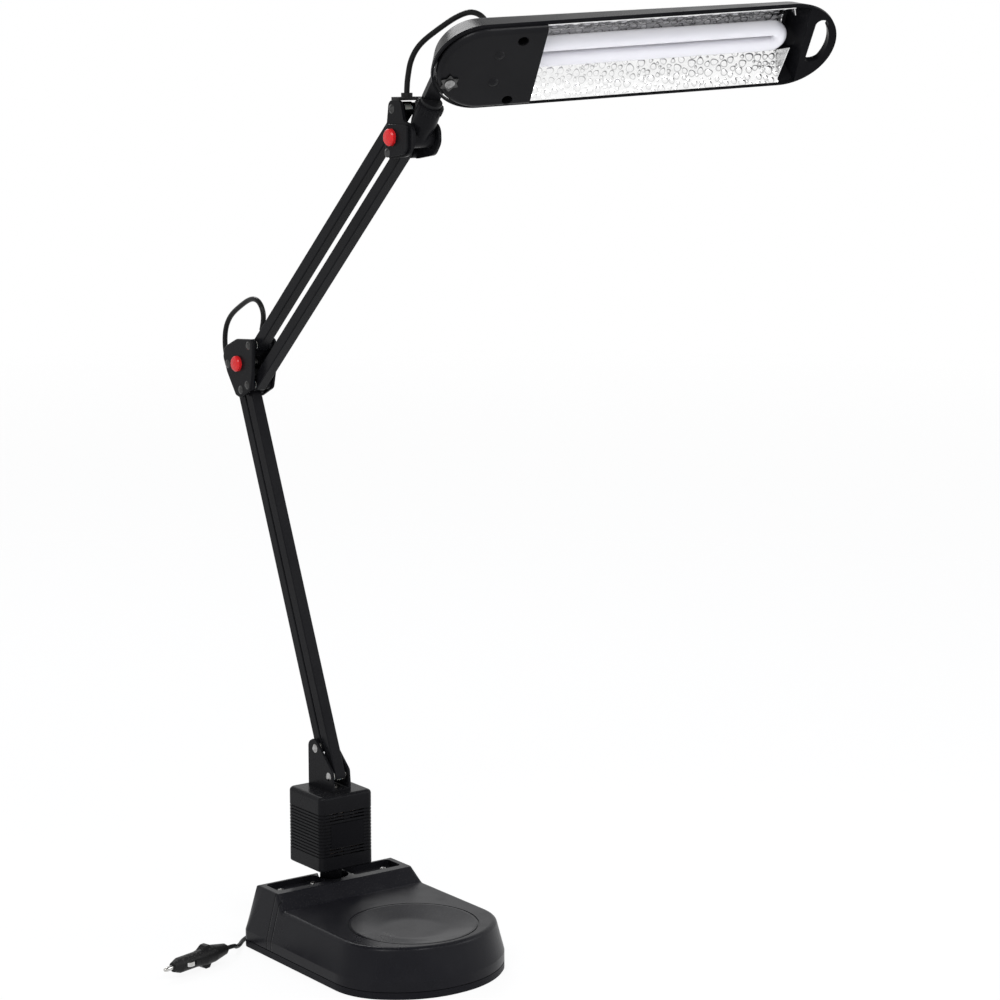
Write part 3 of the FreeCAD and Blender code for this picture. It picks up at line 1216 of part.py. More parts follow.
# Cables on the arms, and the supply lead on the table
elbow_cable = [(0, 138.9, 461.5), (0, 148.5, 462.4), (0, 156, 470.5), (0, 158.8, 483), (0, 156.9, 496.5),
               (0, 148.5, 507.6), (0, 132, 517), (0, 115.2, 524.6), (0, 103.4, 524.2), (0, 96, 517),
               (0, 94.8, 507.6), (0, 98.1, 499.4)]
node(cord_node("elbow_cable", elbow_cable, num("cable")))
inlet = head_at.multVec(V(num("inlet_u"), num("inlet_w"), -num("head_deep") - 7))
boot_top = wrist + V(0, num("boot_y"), num("boot_foot + boot_high"))
head_cable = [boot_top, boot_top + V(0, -0.4, 7), V(0, -120, 715), V(1, -121.5, 725), V(4, -126, 735.5),
              V(11, -132, 744.5), inlet - face * 18 + V(-9, 7, -2), inlet - face * 9, inlet]
node(cord_node("head_cable", head_cable, num("cable")))

cord = num("cord")
coil_centre = V(num("gland_x - coil_outer"), num("coil_y"), cord / 2 + 0.02)
coil, coil_in, coil_out = loose_coil("cord_coil", coil_centre, cord)
node(coil)
gland_end = V(num("gland_x"), num("base_rear + gland_long"), num("gland_z"))
cord_tail = [gland_end, gland_end + V(0, 9, -0.4), gland_end + V(0, 20, -4.6), coil_in + V(0, -9, 0), coil_in]
node(cord_node("cord_tail", cord_tail, cord))
plug_rear, plug_tip = V(-106.4, -7.3, 9.62), V(-175.4, -25.3, 9.62)
plug_line = (plug_tip - plug_rear).normalize()
plug_at = FreeCAD.Placement(plug_rear, FreeCAD.Rotation(up.cross(plug_line), up, plug_line, "ZXY"))
plug_pieces(plug_at)
supply_cord = [coil_out, coil_out + V(0, -8, -1.5), coil_out + V(-4, -18, -6), coil_out + V(-15, -28, -11),
               V(-44, 37.5, cord / 2 + 0.02), V(-60, 31, cord / 2 + 0.02), V(-73.5, 22.5, cord / 2 + 0.02),
               V(-83, 11.5, cord / 2 + 0.6), V(-93.5, 0, 6), plug_rear - plug_line * 9, plug_rear]
node(cord_node("supply_cord", supply_cord, cord))

# Checks and export

doc.recompute()
for item in doc.Objects:
    if "Invalid" in item.State or "Error" in item.State:
        raise ValueError(item.Label + " is not valid: " + str(item.State))
for item in NODES:
    if item.Shape.isNull() or not item.Shape.isValid() or item.Shape.Volume <= 0:
        raise ValueError(item.Label + " has no valid shape")
if len(NODES) > 60 or len({item.Label for item in NODES}) != len(NODES):
    raise ValueError("too many nodes, or a name twice")
os.makedirs("parts", exist_ok=True)
for item in NODES:
    item.Shape.exportStep("parts/%s.step" % item.Label)
print("%d nodes" % len(NODES))
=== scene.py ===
import math
import random

import bpy
import numpy as np
from mathutils import Matrix, Vector


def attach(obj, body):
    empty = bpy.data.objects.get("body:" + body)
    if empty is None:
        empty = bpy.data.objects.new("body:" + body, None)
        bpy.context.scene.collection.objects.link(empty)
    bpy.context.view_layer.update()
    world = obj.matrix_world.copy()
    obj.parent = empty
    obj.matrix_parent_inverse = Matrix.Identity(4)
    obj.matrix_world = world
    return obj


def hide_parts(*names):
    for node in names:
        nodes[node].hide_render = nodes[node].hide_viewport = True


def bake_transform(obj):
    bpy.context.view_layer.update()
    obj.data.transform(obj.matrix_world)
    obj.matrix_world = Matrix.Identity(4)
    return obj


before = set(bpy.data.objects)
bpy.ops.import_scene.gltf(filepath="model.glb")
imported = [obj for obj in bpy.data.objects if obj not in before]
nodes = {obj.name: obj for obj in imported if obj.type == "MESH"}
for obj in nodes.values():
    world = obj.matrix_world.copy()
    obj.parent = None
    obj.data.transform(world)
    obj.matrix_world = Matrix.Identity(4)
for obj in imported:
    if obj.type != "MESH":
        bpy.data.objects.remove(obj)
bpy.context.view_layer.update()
mm = 0.001
bpy.ops.object.select_all(action="DESELECT")


# Camera, table and studio light
# The lamp stands on a pale table that runs out into a white paper roll, under a dim ceiling. A long
# lens looks at it from the front left, from about the height of the head.

camera_place, looks_down, turned = (-1.2604, -1.9525, 0.7667), 9.74, -36.33
bpy.ops.object.camera_add(location=camera_place,
                          rotation=(math.radians(90 - looks_down), 0, math.radians(turned)))
camera = bpy.context.object
camera.name = "studio_camera"
camera.data.sensor_width = 36
camera.data.lens = 103.57
camera.data.clip_start = 0.05
bpy.context.scene.camera = camera
bpy.context.scene.view_settings.view_transform = "Standard"


def link(tree, source, target):
    """Joins an output socket to an input socket."""
    tree.links.new(source, target)


def plain_white_rays(tree):
    """1 for the rays that see the background: camera, mirror and glass rays."""
    path = tree.nodes.new("ShaderNodeLightPath")
    seen = tree.nodes.new("ShaderNodeMath")
    seen.operation = "MAXIMUM"
    link(tree, path.outputs["Is Camera Ray"], seen.inputs[0])
    link(tree, path.outputs["Is Transmission Ray"], seen.inputs[1])
    both = tree.nodes.new("ShaderNodeMath")
    both.operation = "MAXIMUM"
    link(tree, seen.outputs[0], both.inputs[0])
    link(tree, path.outputs["Is Glossy Ray"], both.inputs[1])
    return both.outputs[0]


world = bpy.data.worlds.new("white_studio")
bpy.context.scene.world = world
world.use_nodes = True
world.node_tree.nodes.clear()
room = world.node_tree
paper = room.nodes.new("ShaderNodeBackground")
paper.inputs["Color"].default_value = (1, 1, 1, 1)
paper.inputs["Strength"].default_value = 1.0
looking = room.nodes.new("ShaderNodeTexCoord")
upward = room.nodes.new("ShaderNodeSeparateXYZ")
link(room, looking.outputs["Generated"], upward.inputs[0])
ceiling = room.nodes.new("ShaderNodeMapRange")
ceiling.interpolation_type = "SMOOTHSTEP"
dim_from, dim_to, dim_strength = 0.5, 0.82, 0.1
for socket, value in (("From Min", dim_from), ("From Max", dim_to), ("To Min", 1.0),
                      ("To Max", dim_strength)):
    ceiling.inputs[socket].default_value = value
link(room, upward.outputs["Z"], ceiling.inputs["Value"])
link(room, ceiling.outputs["Result"], paper.inputs["Strength"])
air = room.nodes.new("ShaderNodeBackground")
air.inputs["Color"].default_value = (0.93, 0.95, 1, 1)
air.inputs["Strength"].default_value = 0.62
choose = room.nodes.new("ShaderNodeMixShader")
link(room, plain_white_rays(room), choose.inputs["Fac"])
link(room, air.outputs[0], choose.inputs[1])
link(room, paper.outputs[0], choose.inputs[2])
link(room, choose.outputs[0], room.nodes.new("ShaderNodeOutputWorld").inputs["Surface"])

bpy.ops.mesh.primitive_circle_add(vertices=128, radius=4.5, fill_type="NGON", location=(0, 0, -0.0002))
table = bpy.context.object
table.name = "pale_table"
table_top = bpy.data.materials.new("pale_table_top")
table_top.use_nodes = True
tree = table_top.node_tree
tree.nodes["Principled BSDF"].inputs["Base Color"].default_value = (0.88, 0.88, 0.89, 1)
tree.nodes["Principled BSDF"].inputs["Roughness"].default_value = 0.7
glow = tree.nodes.new("ShaderNodeEmission")
glow.inputs["Color"].default_value = (1, 1, 1, 1)
share = tree.nodes.new("ShaderNodeMath")
share.operation = "MULTIPLY"
table_glow = 0.9
share.inputs[1].default_value = table_glow
link(tree, plain_white_rays(tree), share.inputs[0])
mix = tree.nodes.new("ShaderNodeMixShader")
link(tree, share.outputs[0], mix.inputs["Fac"])
link(tree, tree.nodes["Principled BSDF"].outputs[0], mix.inputs[1])
link(tree, glow.outputs[0], mix.inputs[2])
place = tree.nodes.new("ShaderNodeTexCoord")
distance = tree.nodes.new("ShaderNodeVectorMath")
distance.operation = "LENGTH"
link(tree, place.outputs["Object"], distance.inputs[0])
fade = tree.nodes.new("ShaderNodeMapRange")
fade_start, fade_end = 1.2, 4.2
fade.inputs["From Min"].default_value = fade_start
fade.inputs["From Max"].default_value = fade_end
link(tree, distance.outputs["Value"], fade.inputs["Value"])
clear = tree.nodes.new("ShaderNodeBsdfTransparent")
edge = tree.nodes.new("ShaderNodeMixShader")
link(tree, fade.outputs["Result"], edge.inputs["Fac"])
link(tree, mix.outputs[0], edge.inputs[1])
link(tree, clear.outputs[0], edge.inputs[2])
link(tree, edge.outputs[0], tree.nodes["Material Output"].inputs["Surface"])
table.data.materials.append(table_top)

lit_point = Vector((0, -0.05, 0.35))
for name, spot, size, power in (("key_softbox", (-1.5, -1.0, 2.0), 0.7, 22),
                                ("front_softbox", (0.1, -1.7, 2.1), 0.6, 16),
                                ("side_softbox", (1.7, -1.3, 1.1), 0.9, 10),
                                ("rear_softbox", (0.5, 1.5, 1.9), 0.7, 14)):
    bpy.ops.object.light_add(type="AREA", location=spot)
    lamp = bpy.context.object
    lamp.name = name
    lamp.data.size = size
    lamp.data.energy = power
    lamp.rotation_euler = (lit_point - Vector(spot)).to_track_quat("-Z", "Y").to_euler()


# Supply lead
# A thin flexible low-voltage lead in black sleeving. It leaves the rear wall through a moulded
# relief, is wound up behind the base, and comes round the corner to the plug on the table.

lead_thick = 3.6 * mm
lead_low = 1.82
coil_middle = (8.1, 72.0)
coil_radius, coil_step, coil_climb, coil_layers, coil_half_turns = 25.9, 2.45, 4.5, 4, 6
points_per_half_turn = 8
# A spline runs a little inside its control points, so these stand wider by this share.
spline_swell = 1.012


def coil_route():
    """Turns that spiral in, out, in and out again, a layer higher each time."""
    radius, height, stops = coil_radius, lead_low, [(coil_radius, lead_low)]
    for layer in range(coil_layers):
        for _ in range(coil_half_turns):
            radius += coil_step if layer % 2 else -coil_step
            stops.append((radius, height))
        if layer < coil_layers - 1:
            height += coil_climb
            stops.append((radius, height))
    route = []
    for i, ((r0, z0), (r1, z1)) in enumerate(zip(stops, stops[1:])):
        for k in range(points_per_half_turn):
            part = k / points_per_half_turn
            angle = math.pi * (i + part)
            radius = (r0 + (r1 - r0) * part) * spline_swell
            route.append((coil_middle[0] + radius * math.cos(angle),
                          coil_middle[1] + radius * math.sin(angle), z0 + (z1 - z0) * part))
    last = stops[-1][0] * spline_swell
    route.append((coil_middle[0] - last, coil_middle[1], stops[-1][1]))
    return route


def smooth_lead(name, route, thick):
    """A round lead on one smooth spline whose control points are the route's, in millimetres."""
    curve = bpy.data.curves.new(name, "CURVE")
    curve.dimensions = "3D"
    spline = curve.splines.new("NURBS")
    spline.points.add(len(route) - 1)
    for point, place in zip(spline.points, route):
        point.co = (place[0] * mm, place[1] * mm, place[2] * mm, 1)
    spline.order_u = 3
    spline.use_endpoint_u = True
    spline.resolution_u = 5
    curve.bevel_depth = thick / 2
    curve.bevel_resolution = 5
    curve.use_fill_caps = True
    piece = bpy.data.objects.new(name, curve)
    bpy.context.collection.objects.link(piece)
    return piece


lead_start = [(34, 30, 12), (34, 39, 11.6), (34, 50, 7.4), (34, 59.4, lead_low)]
lead_end = [(-17.8, 60.4, 13.82), (-21.8, 50.4, 9.32), (-32.8, 40.4, 4.32), (-44, 37.5, lead_low),
            (-60, 31, lead_low), (-73.5, 22.5, lead_low), (-83, 11.5, 2.4), (-93.5, 0, 6),
            (-97.69, -5.03, 9.62), (-106.4, -7.3, 9.62)]
supply_lead = smooth_lead("supply_lead", lead_start + coil_route() + lead_end, lead_thick)


# Finishes that several pieces share
# Moulded, painted and rubber surfaces differ in tone, grain and polish, and carry a little dust and
# handling marks; bare metal shows fine lines from rolling and grinding, and tarnishes in patches.

def named_group(name, inputs, outputs):
    """A shader node group with these sockets; returns the group, its input and its output node."""
    group = bpy.data.node_groups.new(name, "ShaderNodeTree")
    for socket, kind, value in inputs:
        made = group.interface.new_socket(name=socket, in_out="INPUT", socket_type=kind)
        made.default_value = value
    for socket, kind in outputs:
        group.interface.new_socket(name=socket, in_out="OUTPUT", socket_type=kind)
    return group, group.nodes.new("NodeGroupInput"), group.nodes.new("NodeGroupOutput")


def arithmetic(tree, operation, first, second):
    """A math node on two values; each is a socket or a number."""
    step = tree.nodes.new("ShaderNodeMath")
    step.operation = operation
    for socket, value in zip(step.inputs, (first, second)):
        if isinstance(value, (int, float)):
            socket.default_value = value
        else:
            link(tree, value, socket)
    return step.outputs[0]


def noise(tree, vector, scale, detail=2.0):
    """A noise texture on a vector; the scale is a socket or a number."""
    cloud = tree.nodes.new("ShaderNodeTexNoise")
    cloud.inputs["Detail"].default_value = detail
    link(tree, vector, cloud.inputs["Vector"])
    if isinstance(scale, (int, float)):
        cloud.inputs["Scale"].default_value = scale
    else:
        link(tree, scale, cloud.inputs["Scale"])
    return cloud.outputs["Fac"]


def ranged(tree, value, low, high, to_low=0.0, to_high=1.0):
    """A value carried from one range to another and held inside it."""
    step = tree.nodes.new("ShaderNodeMapRange")
    link(tree, value, step.inputs["Value"])
    for socket, number in (("From Min", low), ("From Max", high), ("To Min", to_low), ("To Max", to_high)):
        if isinstance(number, (int, float)):
            step.inputs[socket].default_value = number
        else:
            link(tree, number, step.inputs[socket])
    return step.outputs["Result"]


def blended(tree, share, first, second):
    """A colour between two colours."""
    step = tree.nodes.new("ShaderNodeMix")
    step.data_type = "RGBA"
    link(tree, share, step.inputs["Factor"])
    for socket, value in ((step.inputs[6], first), (step.inputs[7], second)):
        if isinstance(value, tuple):
            socket.default_value = value
        else:
            link(tree, value, socket)
    return step.outputs[2]


number, colour = "NodeSocketFloat", "NodeSocketColor"
deep_black, worn_black = (0.005, 0.005, 0.006, 1), (0.009, 0.009, 0.01, 1)
pale_dust = (0.3, 0.29, 0.28, 1)
flow_scale, handling_scale, speck_scale, patch_scale = 14.0, 55.0, 900.0, 260.0
skin_group, skin_in, skin_out = named_group(
    "moulded_skin",
    [("Tone", colour, (0.03, 0.03, 0.03, 1)), ("Worn tone", colour, (0.06, 0.06, 0.06, 1)),
     ("Grain", number, 2400.0), ("Polish", number, 0.4), ("Dull", number, 0.6), ("Dust", number, 0.3)],
    [("Color", colour), ("Roughness", number), ("Height", number)])
tree = skin_group
where = tree.nodes.new("ShaderNodeTexCoord").outputs["Object"]
flow = noise(tree, where, flow_scale, 3.0)
handled = ranged(tree, noise(tree, where, handling_scale, 5.0), 0.52, 0.74)
settled = tree.nodes.new("ShaderNodeSeparateXYZ")
link(tree, tree.nodes.new("ShaderNodeNewGeometry").outputs["Normal"], settled.inputs[0])
lying = ranged(tree, settled.outputs["Z"], 0.35, 1.0)
specks = ranged(tree, noise(tree, where, speck_scale, 4.0), 0.56, 0.7)
dust = arithmetic(tree, "MULTIPLY", arithmetic(tree, "MULTIPLY", lying, specks), skin_in.outputs["Dust"])
grain = noise(tree, where, skin_in.outputs["Grain"], 3.0)
tone = blended(tree, ranged(tree, flow, 0.3, 0.75), skin_in.outputs["Tone"], skin_in.outputs["Worn tone"])
tone = blended(tree, arithmetic(tree, "MULTIPLY", handled, 0.35), tone, skin_in.outputs["Worn tone"])
tone = blended(tree, arithmetic(tree, "MULTIPLY", dust, 0.5), tone, pale_dust)
link(tree, tone, skin_out.inputs["Color"])
sheen = ranged(tree, arithmetic(tree, "ADD", flow, arithmetic(tree, "MULTIPLY", handled, 0.3)), 0.3, 0.95,
               skin_in.outputs["Polish"], skin_in.outputs["Dull"])
dulled = arithmetic(tree, "ADD", sheen, arithmetic(tree, "MULTIPLY", dust, 0.3))
link(tree, dulled, skin_out.inputs["Roughness"])
raised = arithmetic(tree, "ADD", grain, arithmetic(tree, "MULTIPLY", flow, 2.0))
link(tree, raised, skin_out.inputs["Height"])

metal_group, metal_in, metal_out = named_group(
    "bare_metal",
    [("Tone", colour, (0.6, 0.6, 0.6, 1)), ("Tarnish", colour, (0.4, 0.39, 0.37, 1)),
     ("Lines", number, 900.0), ("Polish", number, 0.18), ("Dull", number, 0.4)],
    [("Color", colour), ("Roughness", number), ("Height", number)])
tree = metal_group
where = tree.nodes.new("ShaderNodeTexCoord").outputs["Object"]
drawn = tree.nodes.new("ShaderNodeVectorMath")
drawn.operation = "MULTIPLY"
link(tree, where, drawn.inputs[0])
drawn.inputs[1].default_value = (0.08, 1, 1)
lines = noise(tree, drawn.outputs["Vector"], metal_in.outputs["Lines"], 2.0)
patches = ranged(tree, noise(tree, where, patch_scale, 4.0), 0.42, 0.7)
tarnished = blended(tree, patches, metal_in.outputs["Tone"], metal_in.outputs["Tarnish"])
link(tree, tarnished, metal_out.inputs["Color"])
worn = arithmetic(tree, "ADD", arithmetic(tree, "MULTIPLY", patches, 0.6),
                  arithmetic(tree, "MULTIPLY", lines, 0.4))
link(tree, ranged(tree, worn, 0.0, 1.0, metal_in.outputs["Polish"], metal_in.outputs["Dull"]),
     metal_out.inputs["Roughness"])
link(tree, lines, metal_out.inputs["Height"])


def grouped_finish(name, group, relief, values, **sockets):
    """A material on one shared group: its own group values, and constants on the shader itself.

    The relief is the depth of its bumps in metres.
    """
    material = bpy.data.materials.new(name)
    material.use_nodes = True
    tree = material.node_tree
    shader = tree.nodes["Principled BSDF"]
    skin = tree.nodes.new("ShaderNodeGroup")
    skin.node_tree = group
    for socket, value in values.items():
        skin.inputs[socket].default_value = value
    link(tree, skin.outputs["Color"], shader.inputs["Base Color"])
    link(tree, skin.outputs["Roughness"], shader.inputs["Roughness"])
    bump = tree.nodes.new("ShaderNodeBump")
    bump.inputs["Distance"].default_value = relief
    bump.inputs["Strength"].default_value = 0.5
    link(tree, skin.outputs["Height"], bump.inputs["Height"])
    link(tree, bump.outputs["Normal"], shader.inputs["Normal"])
    for socket, value in sockets.items():
        shader.inputs[socket.replace("_", " ")].default_value = value
    return material


def grey(level):
    """A grey colour."""
    return (level, level, level, 1)


def dress(material, slot, *names):
    """Gives CAD pieces their finish."""
    for name in names:
        nodes[name].data.materials.clear()
        nodes[name].data.materials.append(material)


# Base
# A drafted ABS moulding with two upright grooves in each side wall, screwed from below to a flat pan
# with an iron weight between them. Rubber pads carry it, and two screws shine in each pen tray.

base_abs = grouped_finish("satin_charcoal_abs", skin_group, 0.00005,
                          {"Tone": (0.007, 0.007, 0.009, 1), "Worn tone": (0.011, 0.011, 0.013, 1),
                           "Grain": 2600.0, "Polish": 0.26, "Dull": 0.38, "Dust": 0.15},
                          Specular_IOR_Level=0.09)
dress(base_abs, "black_shell", "base_shell")

# The grooves aren't cut in the mesh: each is a dip in the bump and a dark line of painted shade.
# Their places ahead of the origin and their widths are in metres; the dip is in heights of the grain.
groove_ahead = (0.0205, 0.0275)
groove_half, groove_edge, groove_deep = 0.0004, 0.0009, 14.0
wall_from, wall_to = 0.0655, 0.0665
tree = base_abs.node_tree
shader = tree.nodes["Principled BSDF"]
spot = tree.nodes.new("ShaderNodeSeparateXYZ")
link(tree, tree.nodes.new("ShaderNodeTexCoord").outputs["Object"], spot.inputs[0])
on_wall = ranged(tree, arithmetic(tree, "ABSOLUTE", spot.outputs["X"], 0.0), wall_from, wall_to)
near = []
for ahead in groove_ahead:
    away = arithmetic(tree, "ABSOLUTE", arithmetic(tree, "ADD", spot.outputs["Y"], ahead), 0.0)
    near.append(ranged(tree, away, groove_half, groove_edge, 1.0, 0.0))
cut = arithmetic(tree, "MULTIPLY", arithmetic(tree, "MAXIMUM", *near), on_wall)
bump = shader.inputs["Normal"].links[0].from_node
skin_height = bump.inputs["Height"].links[0].from_socket
grooved = arithmetic(tree, "SUBTRACT", skin_height, arithmetic(tree, "MULTIPLY", cut, groove_deep))
link(tree, grooved, bump.inputs["Height"])
skin_tone = shader.inputs["Base Color"].links[0].from_socket
# Painted shade darkens the wall's colour along the grooves.
groove_painted_shade_tone = (0.002, 0.002, 0.003, 1)
link(tree, blended(tree, cut, skin_tone, groove_painted_shade_tone), shader.inputs["Base Color"])

pan_abs = grouped_finish("satin_charcoal_pan", skin_group, 0.00009,
                         {"Tone": (0.008, 0.008, 0.01, 1), "Worn tone": (0.012, 0.012, 0.014, 1),
                          "Grain": 2200.0, "Polish": 0.36, "Dull": 0.5, "Dust": 0.15},
                         Specular_IOR_Level=0.04)
dress(pan_abs, "black_shell", "base_plate")
cast_iron = grouped_finish("rough_cast_iron", metal_group, 0.0004,
                           {"Tone": grey(0.16), "Tarnish": (0.11, 0.075, 0.055, 1), "Lines": 420.0,
                            "Polish": 0.6, "Dull": 0.85}, Metallic=0.6)
dress(cast_iron, "iron", "base_weight")
pad_rubber = grouped_finish("matt_black_rubber", skin_group, 0.0001,
                            {"Tone": grey(0.008), "Worn tone": grey(0.018), "Grain": 1700.0,
                             "Polish": 0.62, "Dull": 0.85, "Dust": 0.6}, Specular_IOR_Level=0.2)
dress(pad_rubber, "black_rubber", "foot_pads", "cable_grommet")
zinc = grouped_finish("zinc_plated_steel", metal_group, 0.00004,
                      {"Tone": grey(0.5), "Tarnish": (0.3, 0.29, 0.27, 1), "Lines": 1500.0,
                       "Polish": 0.2, "Dull": 0.42}, Metallic=1.0)
dress(zinc, "bright_steel", "base_screws", "bracket_screws", "spigot_clip")
nylon = grouped_finish("milky_nylon", skin_group, 0.00005,
                       {"Tone": (0.52, 0.5, 0.45, 1), "Worn tone": (0.6, 0.58, 0.52, 1), "Grain": 1500.0,
                        "Polish": 0.35, "Dull": 0.5, "Dust": 0.1}, Subsurface_Weight=0.1)
dress(nylon, "bush_plastic", "socket_bush")


def turned_up(name, profile, sides):
    """A round piece drawn up from a disc, step by step. The profile's (radius, height) are in mm."""
    bpy.ops.object.select_all(action="DESELECT")
    radius, height = profile[0]
    bpy.ops.mesh.primitive_circle_add(vertices=sides, radius=radius * mm, fill_type="NGON",
                                      location=(0, 0, height * mm))
    piece = bpy.context.object
    piece.name = piece.data.name = name
    bpy.ops.object.transform_apply(location=True, rotation=True, scale=True)
    bpy.ops.object.mode_set(mode="EDIT")
    bpy.ops.mesh.select_all(action="SELECT")
    for wide, high in profile[1:]:
        bpy.ops.mesh.extrude_region_move(TRANSFORM_OT_translate={"value": (0, 0, (high - height) * mm)})
        share = wide / radius
        bpy.ops.transform.resize(value=(share, share, 1), center_override=(0, 0, high * mm))
        radius, height = wide, high
    bpy.ops.mesh.select_all(action="SELECT")
    bpy.ops.mesh.normals_make_consistent(inside=False)
    bpy.ops.object.mode_set(mode="OBJECT")
    return piece


def hollowed(piece, *tools):
    """Cuts tool meshes out of a piece and removes them."""
    for tool in tools:
        bpy.ops.object.select_all(action="DESELECT")
        bpy.context.view_layer.objects.active = piece
        piece.select_set(True)
        cutter = piece.modifiers.new("cut", "BOOLEAN")
        cutter.operation = "DIFFERENCE"
        cutter.solver = "EXACT"
        cutter.object = tool
        bpy.ops.object.modifier_apply(modifier="cut")
        bpy.data.objects.remove(tool)
    return piece


def cross_head(name, radius, thick, crown):
    """The pan head of a small screw with a cross recess; its seat is at the origin, +Z outwards."""
    head = turned_up(name, [(radius * 0.98, 0), (radius, thick * 0.3), (radius * 0.96, thick),
                            (radius * 0.72, thick + crown * 0.6), (radius * 0.36, thick + crown * 0.92),
                            (radius * 0.1, thick + crown)], 32)
    bars = []
    for turn in (0.0, math.pi / 2):
        bpy.ops.object.select_all(action="DESELECT")
        bpy.ops.mesh.primitive_cube_add(size=1, location=(0, 0, (thick + crown) * mm),
                                        rotation=(0, 0, turn))
        bar = bpy.context.object
        bar.scale = (radius * 1.15 * mm, radius * 0.28 * mm, (thick + crown) * 1.1 * mm)
        bars.append(bar)
    return hollowed(head, *bars)


def shade(piece, angle=35):
    """Smooth shading, with a crease where faces meet at more than this angle."""
    bpy.ops.object.select_all(action="DESELECT")
    bpy.context.view_layer.objects.active = piece
    piece.select_set(True)
    bpy.ops.object.shade_smooth_by_angle(angle=math.radians(angle))


def settle(piece, places):
    """Copies a piece modelled at the origin to each placement, joins the copies and settles them."""
    copies = []
    for place in places:
        copy = piece.copy()
        copy.data = piece.data.copy()
        bpy.context.collection.objects.link(copy)
        copy.data.transform(place)
        copies.append(copy)
    name = piece.name
    bpy.data.objects.remove(piece)
    bpy.ops.object.select_all(action="DESELECT")
    for copy in copies:
        copy.select_set(True)
    bpy.context.view_layer.objects.active = copies[0]
    if len(copies) > 1:
        bpy.ops.object.join()
    settled = bpy.context.object
    settled.name = settled.data.name = name
    shade(settled)
    return settled


tray_floor, tray_middle = 46.5, -2
head_radius, head_rim, head_crown = 2.9, 0.7, 1.2
tray_heads = settle(cross_head("tray_screw_heads", head_radius, head_rim, head_crown),
                    [Matrix.Translation((x * mm, tray_middle * mm, tray_floor * mm))
                     @ Matrix.Rotation(turn, 4, "Z")
                     for x, turn in ((-51, 0.3), (-19, 1.0), (19, 0.1), (51, 0.7))])
tray_heads.data.materials.append(zinc)
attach(tray_heads, "base")
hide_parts("tray_screws")


# Lead relief and plug
# The relief is a tapered rubber moulding with rings, clipped into the rear wall. The slim plug has a
# spring pin at its tip and a spring strip on each side.

def centreline(piece):
    """Points on the middle of a lead, read from its own spline."""
    thin = piece.data.copy()
    thin.bevel_depth = 0
    carrier = bpy.data.objects.new("thin_line", thin)
    bpy.context.collection.objects.link(carrier)
    bpy.context.view_layer.update()
    line = bpy.data.meshes.new_from_object(carrier)
    points = [vertex.co.copy() for vertex in line.vertices]
    bpy.data.objects.remove(carrier)
    bpy.data.meshes.remove(line)
    return points


def face_mesh(name, verts, faces):
    """An object from corner points in metres and faces."""
    mesh = bpy.data.meshes.new(name)
    mesh.from_pydata([tuple(corner) for corner in verts], [], faces)
    piece = bpy.data.objects.new(name, mesh)
    bpy.context.collection.objects.link(piece)
    return piece


def sleeve(name, points, radii, sides=28):
    """A round tube through the points, with its own radius at each of them."""
    verts, faces = [], []
    side = Vector((1, 0, 0))
    for i, point in enumerate(points):
        ahead = (points[min(i + 1, len(points) - 1)] - points[max(i - 1, 0)]).normalized()
        side = (side - ahead * side.dot(ahead)).normalized()
        over = ahead.cross(side)
        for k in range(sides):
            angle = 2 * math.pi * k / sides
            verts.append(point + (side * math.cos(angle) + over * math.sin(angle)) * radii[i])
    for i in range(len(points) - 1):
        for k in range(sides):
            a, b = i * sides + k, i * sides + (k + 1) % sides
            faces.append((a, b, b + sides, a + sides))
    faces.append(tuple(reversed(range(sides))))
    faces.append(tuple(range((len(points) - 1) * sides, len(points) * sides)))
    piece = face_mesh(name, verts, faces)
    shade(piece, 50)
    return piece


def along_line(points, start, end, count):
    """Evenly spaced points on a line between two distances from its start."""
    reach = [0.0]
    for a, b in zip(points, points[1:]):
        reach.append(reach[-1] + (b - a).length)
    spots = []
    for i in range(count):
        want = start + (end - start) * i / (count - 1)
        spots.append(Vector([float(np.interp(want, reach, [p[axis] for p in points]))
                             for axis in range(3)]))
    return spots


lead_line = centreline(supply_lead)
wall = Vector((34 * mm, 19 * mm, 12 * mm))
flange = ((-5.0, 3.1), (-0.4, 3.1), (-0.35, 3.1), (0, 3.6), (0.3, 4.45), (1.9, 4.45), (2.3, 3.9))
sheath_from, sheath_step, sheath_steps = 3.0, 0.5, 16
relief_out, relief_joins, bent_steps = 15 * mm, 0.4 * mm, 26
relief_path = [wall + Vector((0, out * mm, 0)) for out, _ in flange]
relief_path += [wall + Vector((0, (sheath_from + sheath_step * step) * mm, 0))
                for step in range(sheath_steps)]
relief_path += along_line(lead_line, relief_joins, relief_out, bent_steps)
relief_radii = [radius for _, radius in flange]
sheath_wide, sheath_taper = 3.5, 1.25
notch_deep, notch_pitch, notch_at, plain_end = 0.45, 6, (3, 4), 4
sheath = len(relief_path) - len(flange)
for step in range(sheath):
    notched = step % notch_pitch in notch_at and step < sheath - plain_end
    relief_radii.append(sheath_wide - sheath_taper * step / sheath - (notch_deep if notched else 0.0))
lead_relief = sleeve("lead_relief", relief_path, [radius * mm for radius in relief_radii])
lead_rubber = grouped_finish("soft_black_sleeving", skin_group, 0.00006,
                             {"Tone": grey(0.01), "Worn tone": grey(0.018), "Grain": 1900.0,
                              "Polish": 0.38, "Dull": 0.5, "Dust": 0.4}, Specular_IOR_Level=0.08)
relief_rubber = grouped_finish("relief_rubber", skin_group, 0.00008,
                               {"Tone": grey(0.008), "Worn tone": grey(0.015), "Grain": 1500.0,
                                "Polish": 0.5, "Dull": 0.7, "Dust": 0.4}, Specular_IOR_Level=0.2)
lead_relief.data.materials.append(relief_rubber)
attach(lead_relief, "base")
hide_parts("cord_gland")
supply_lead.data.materials.append(lead_rubber)
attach(supply_lead, "base")
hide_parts("cord_tail", "cord_coil", "supply_cord")

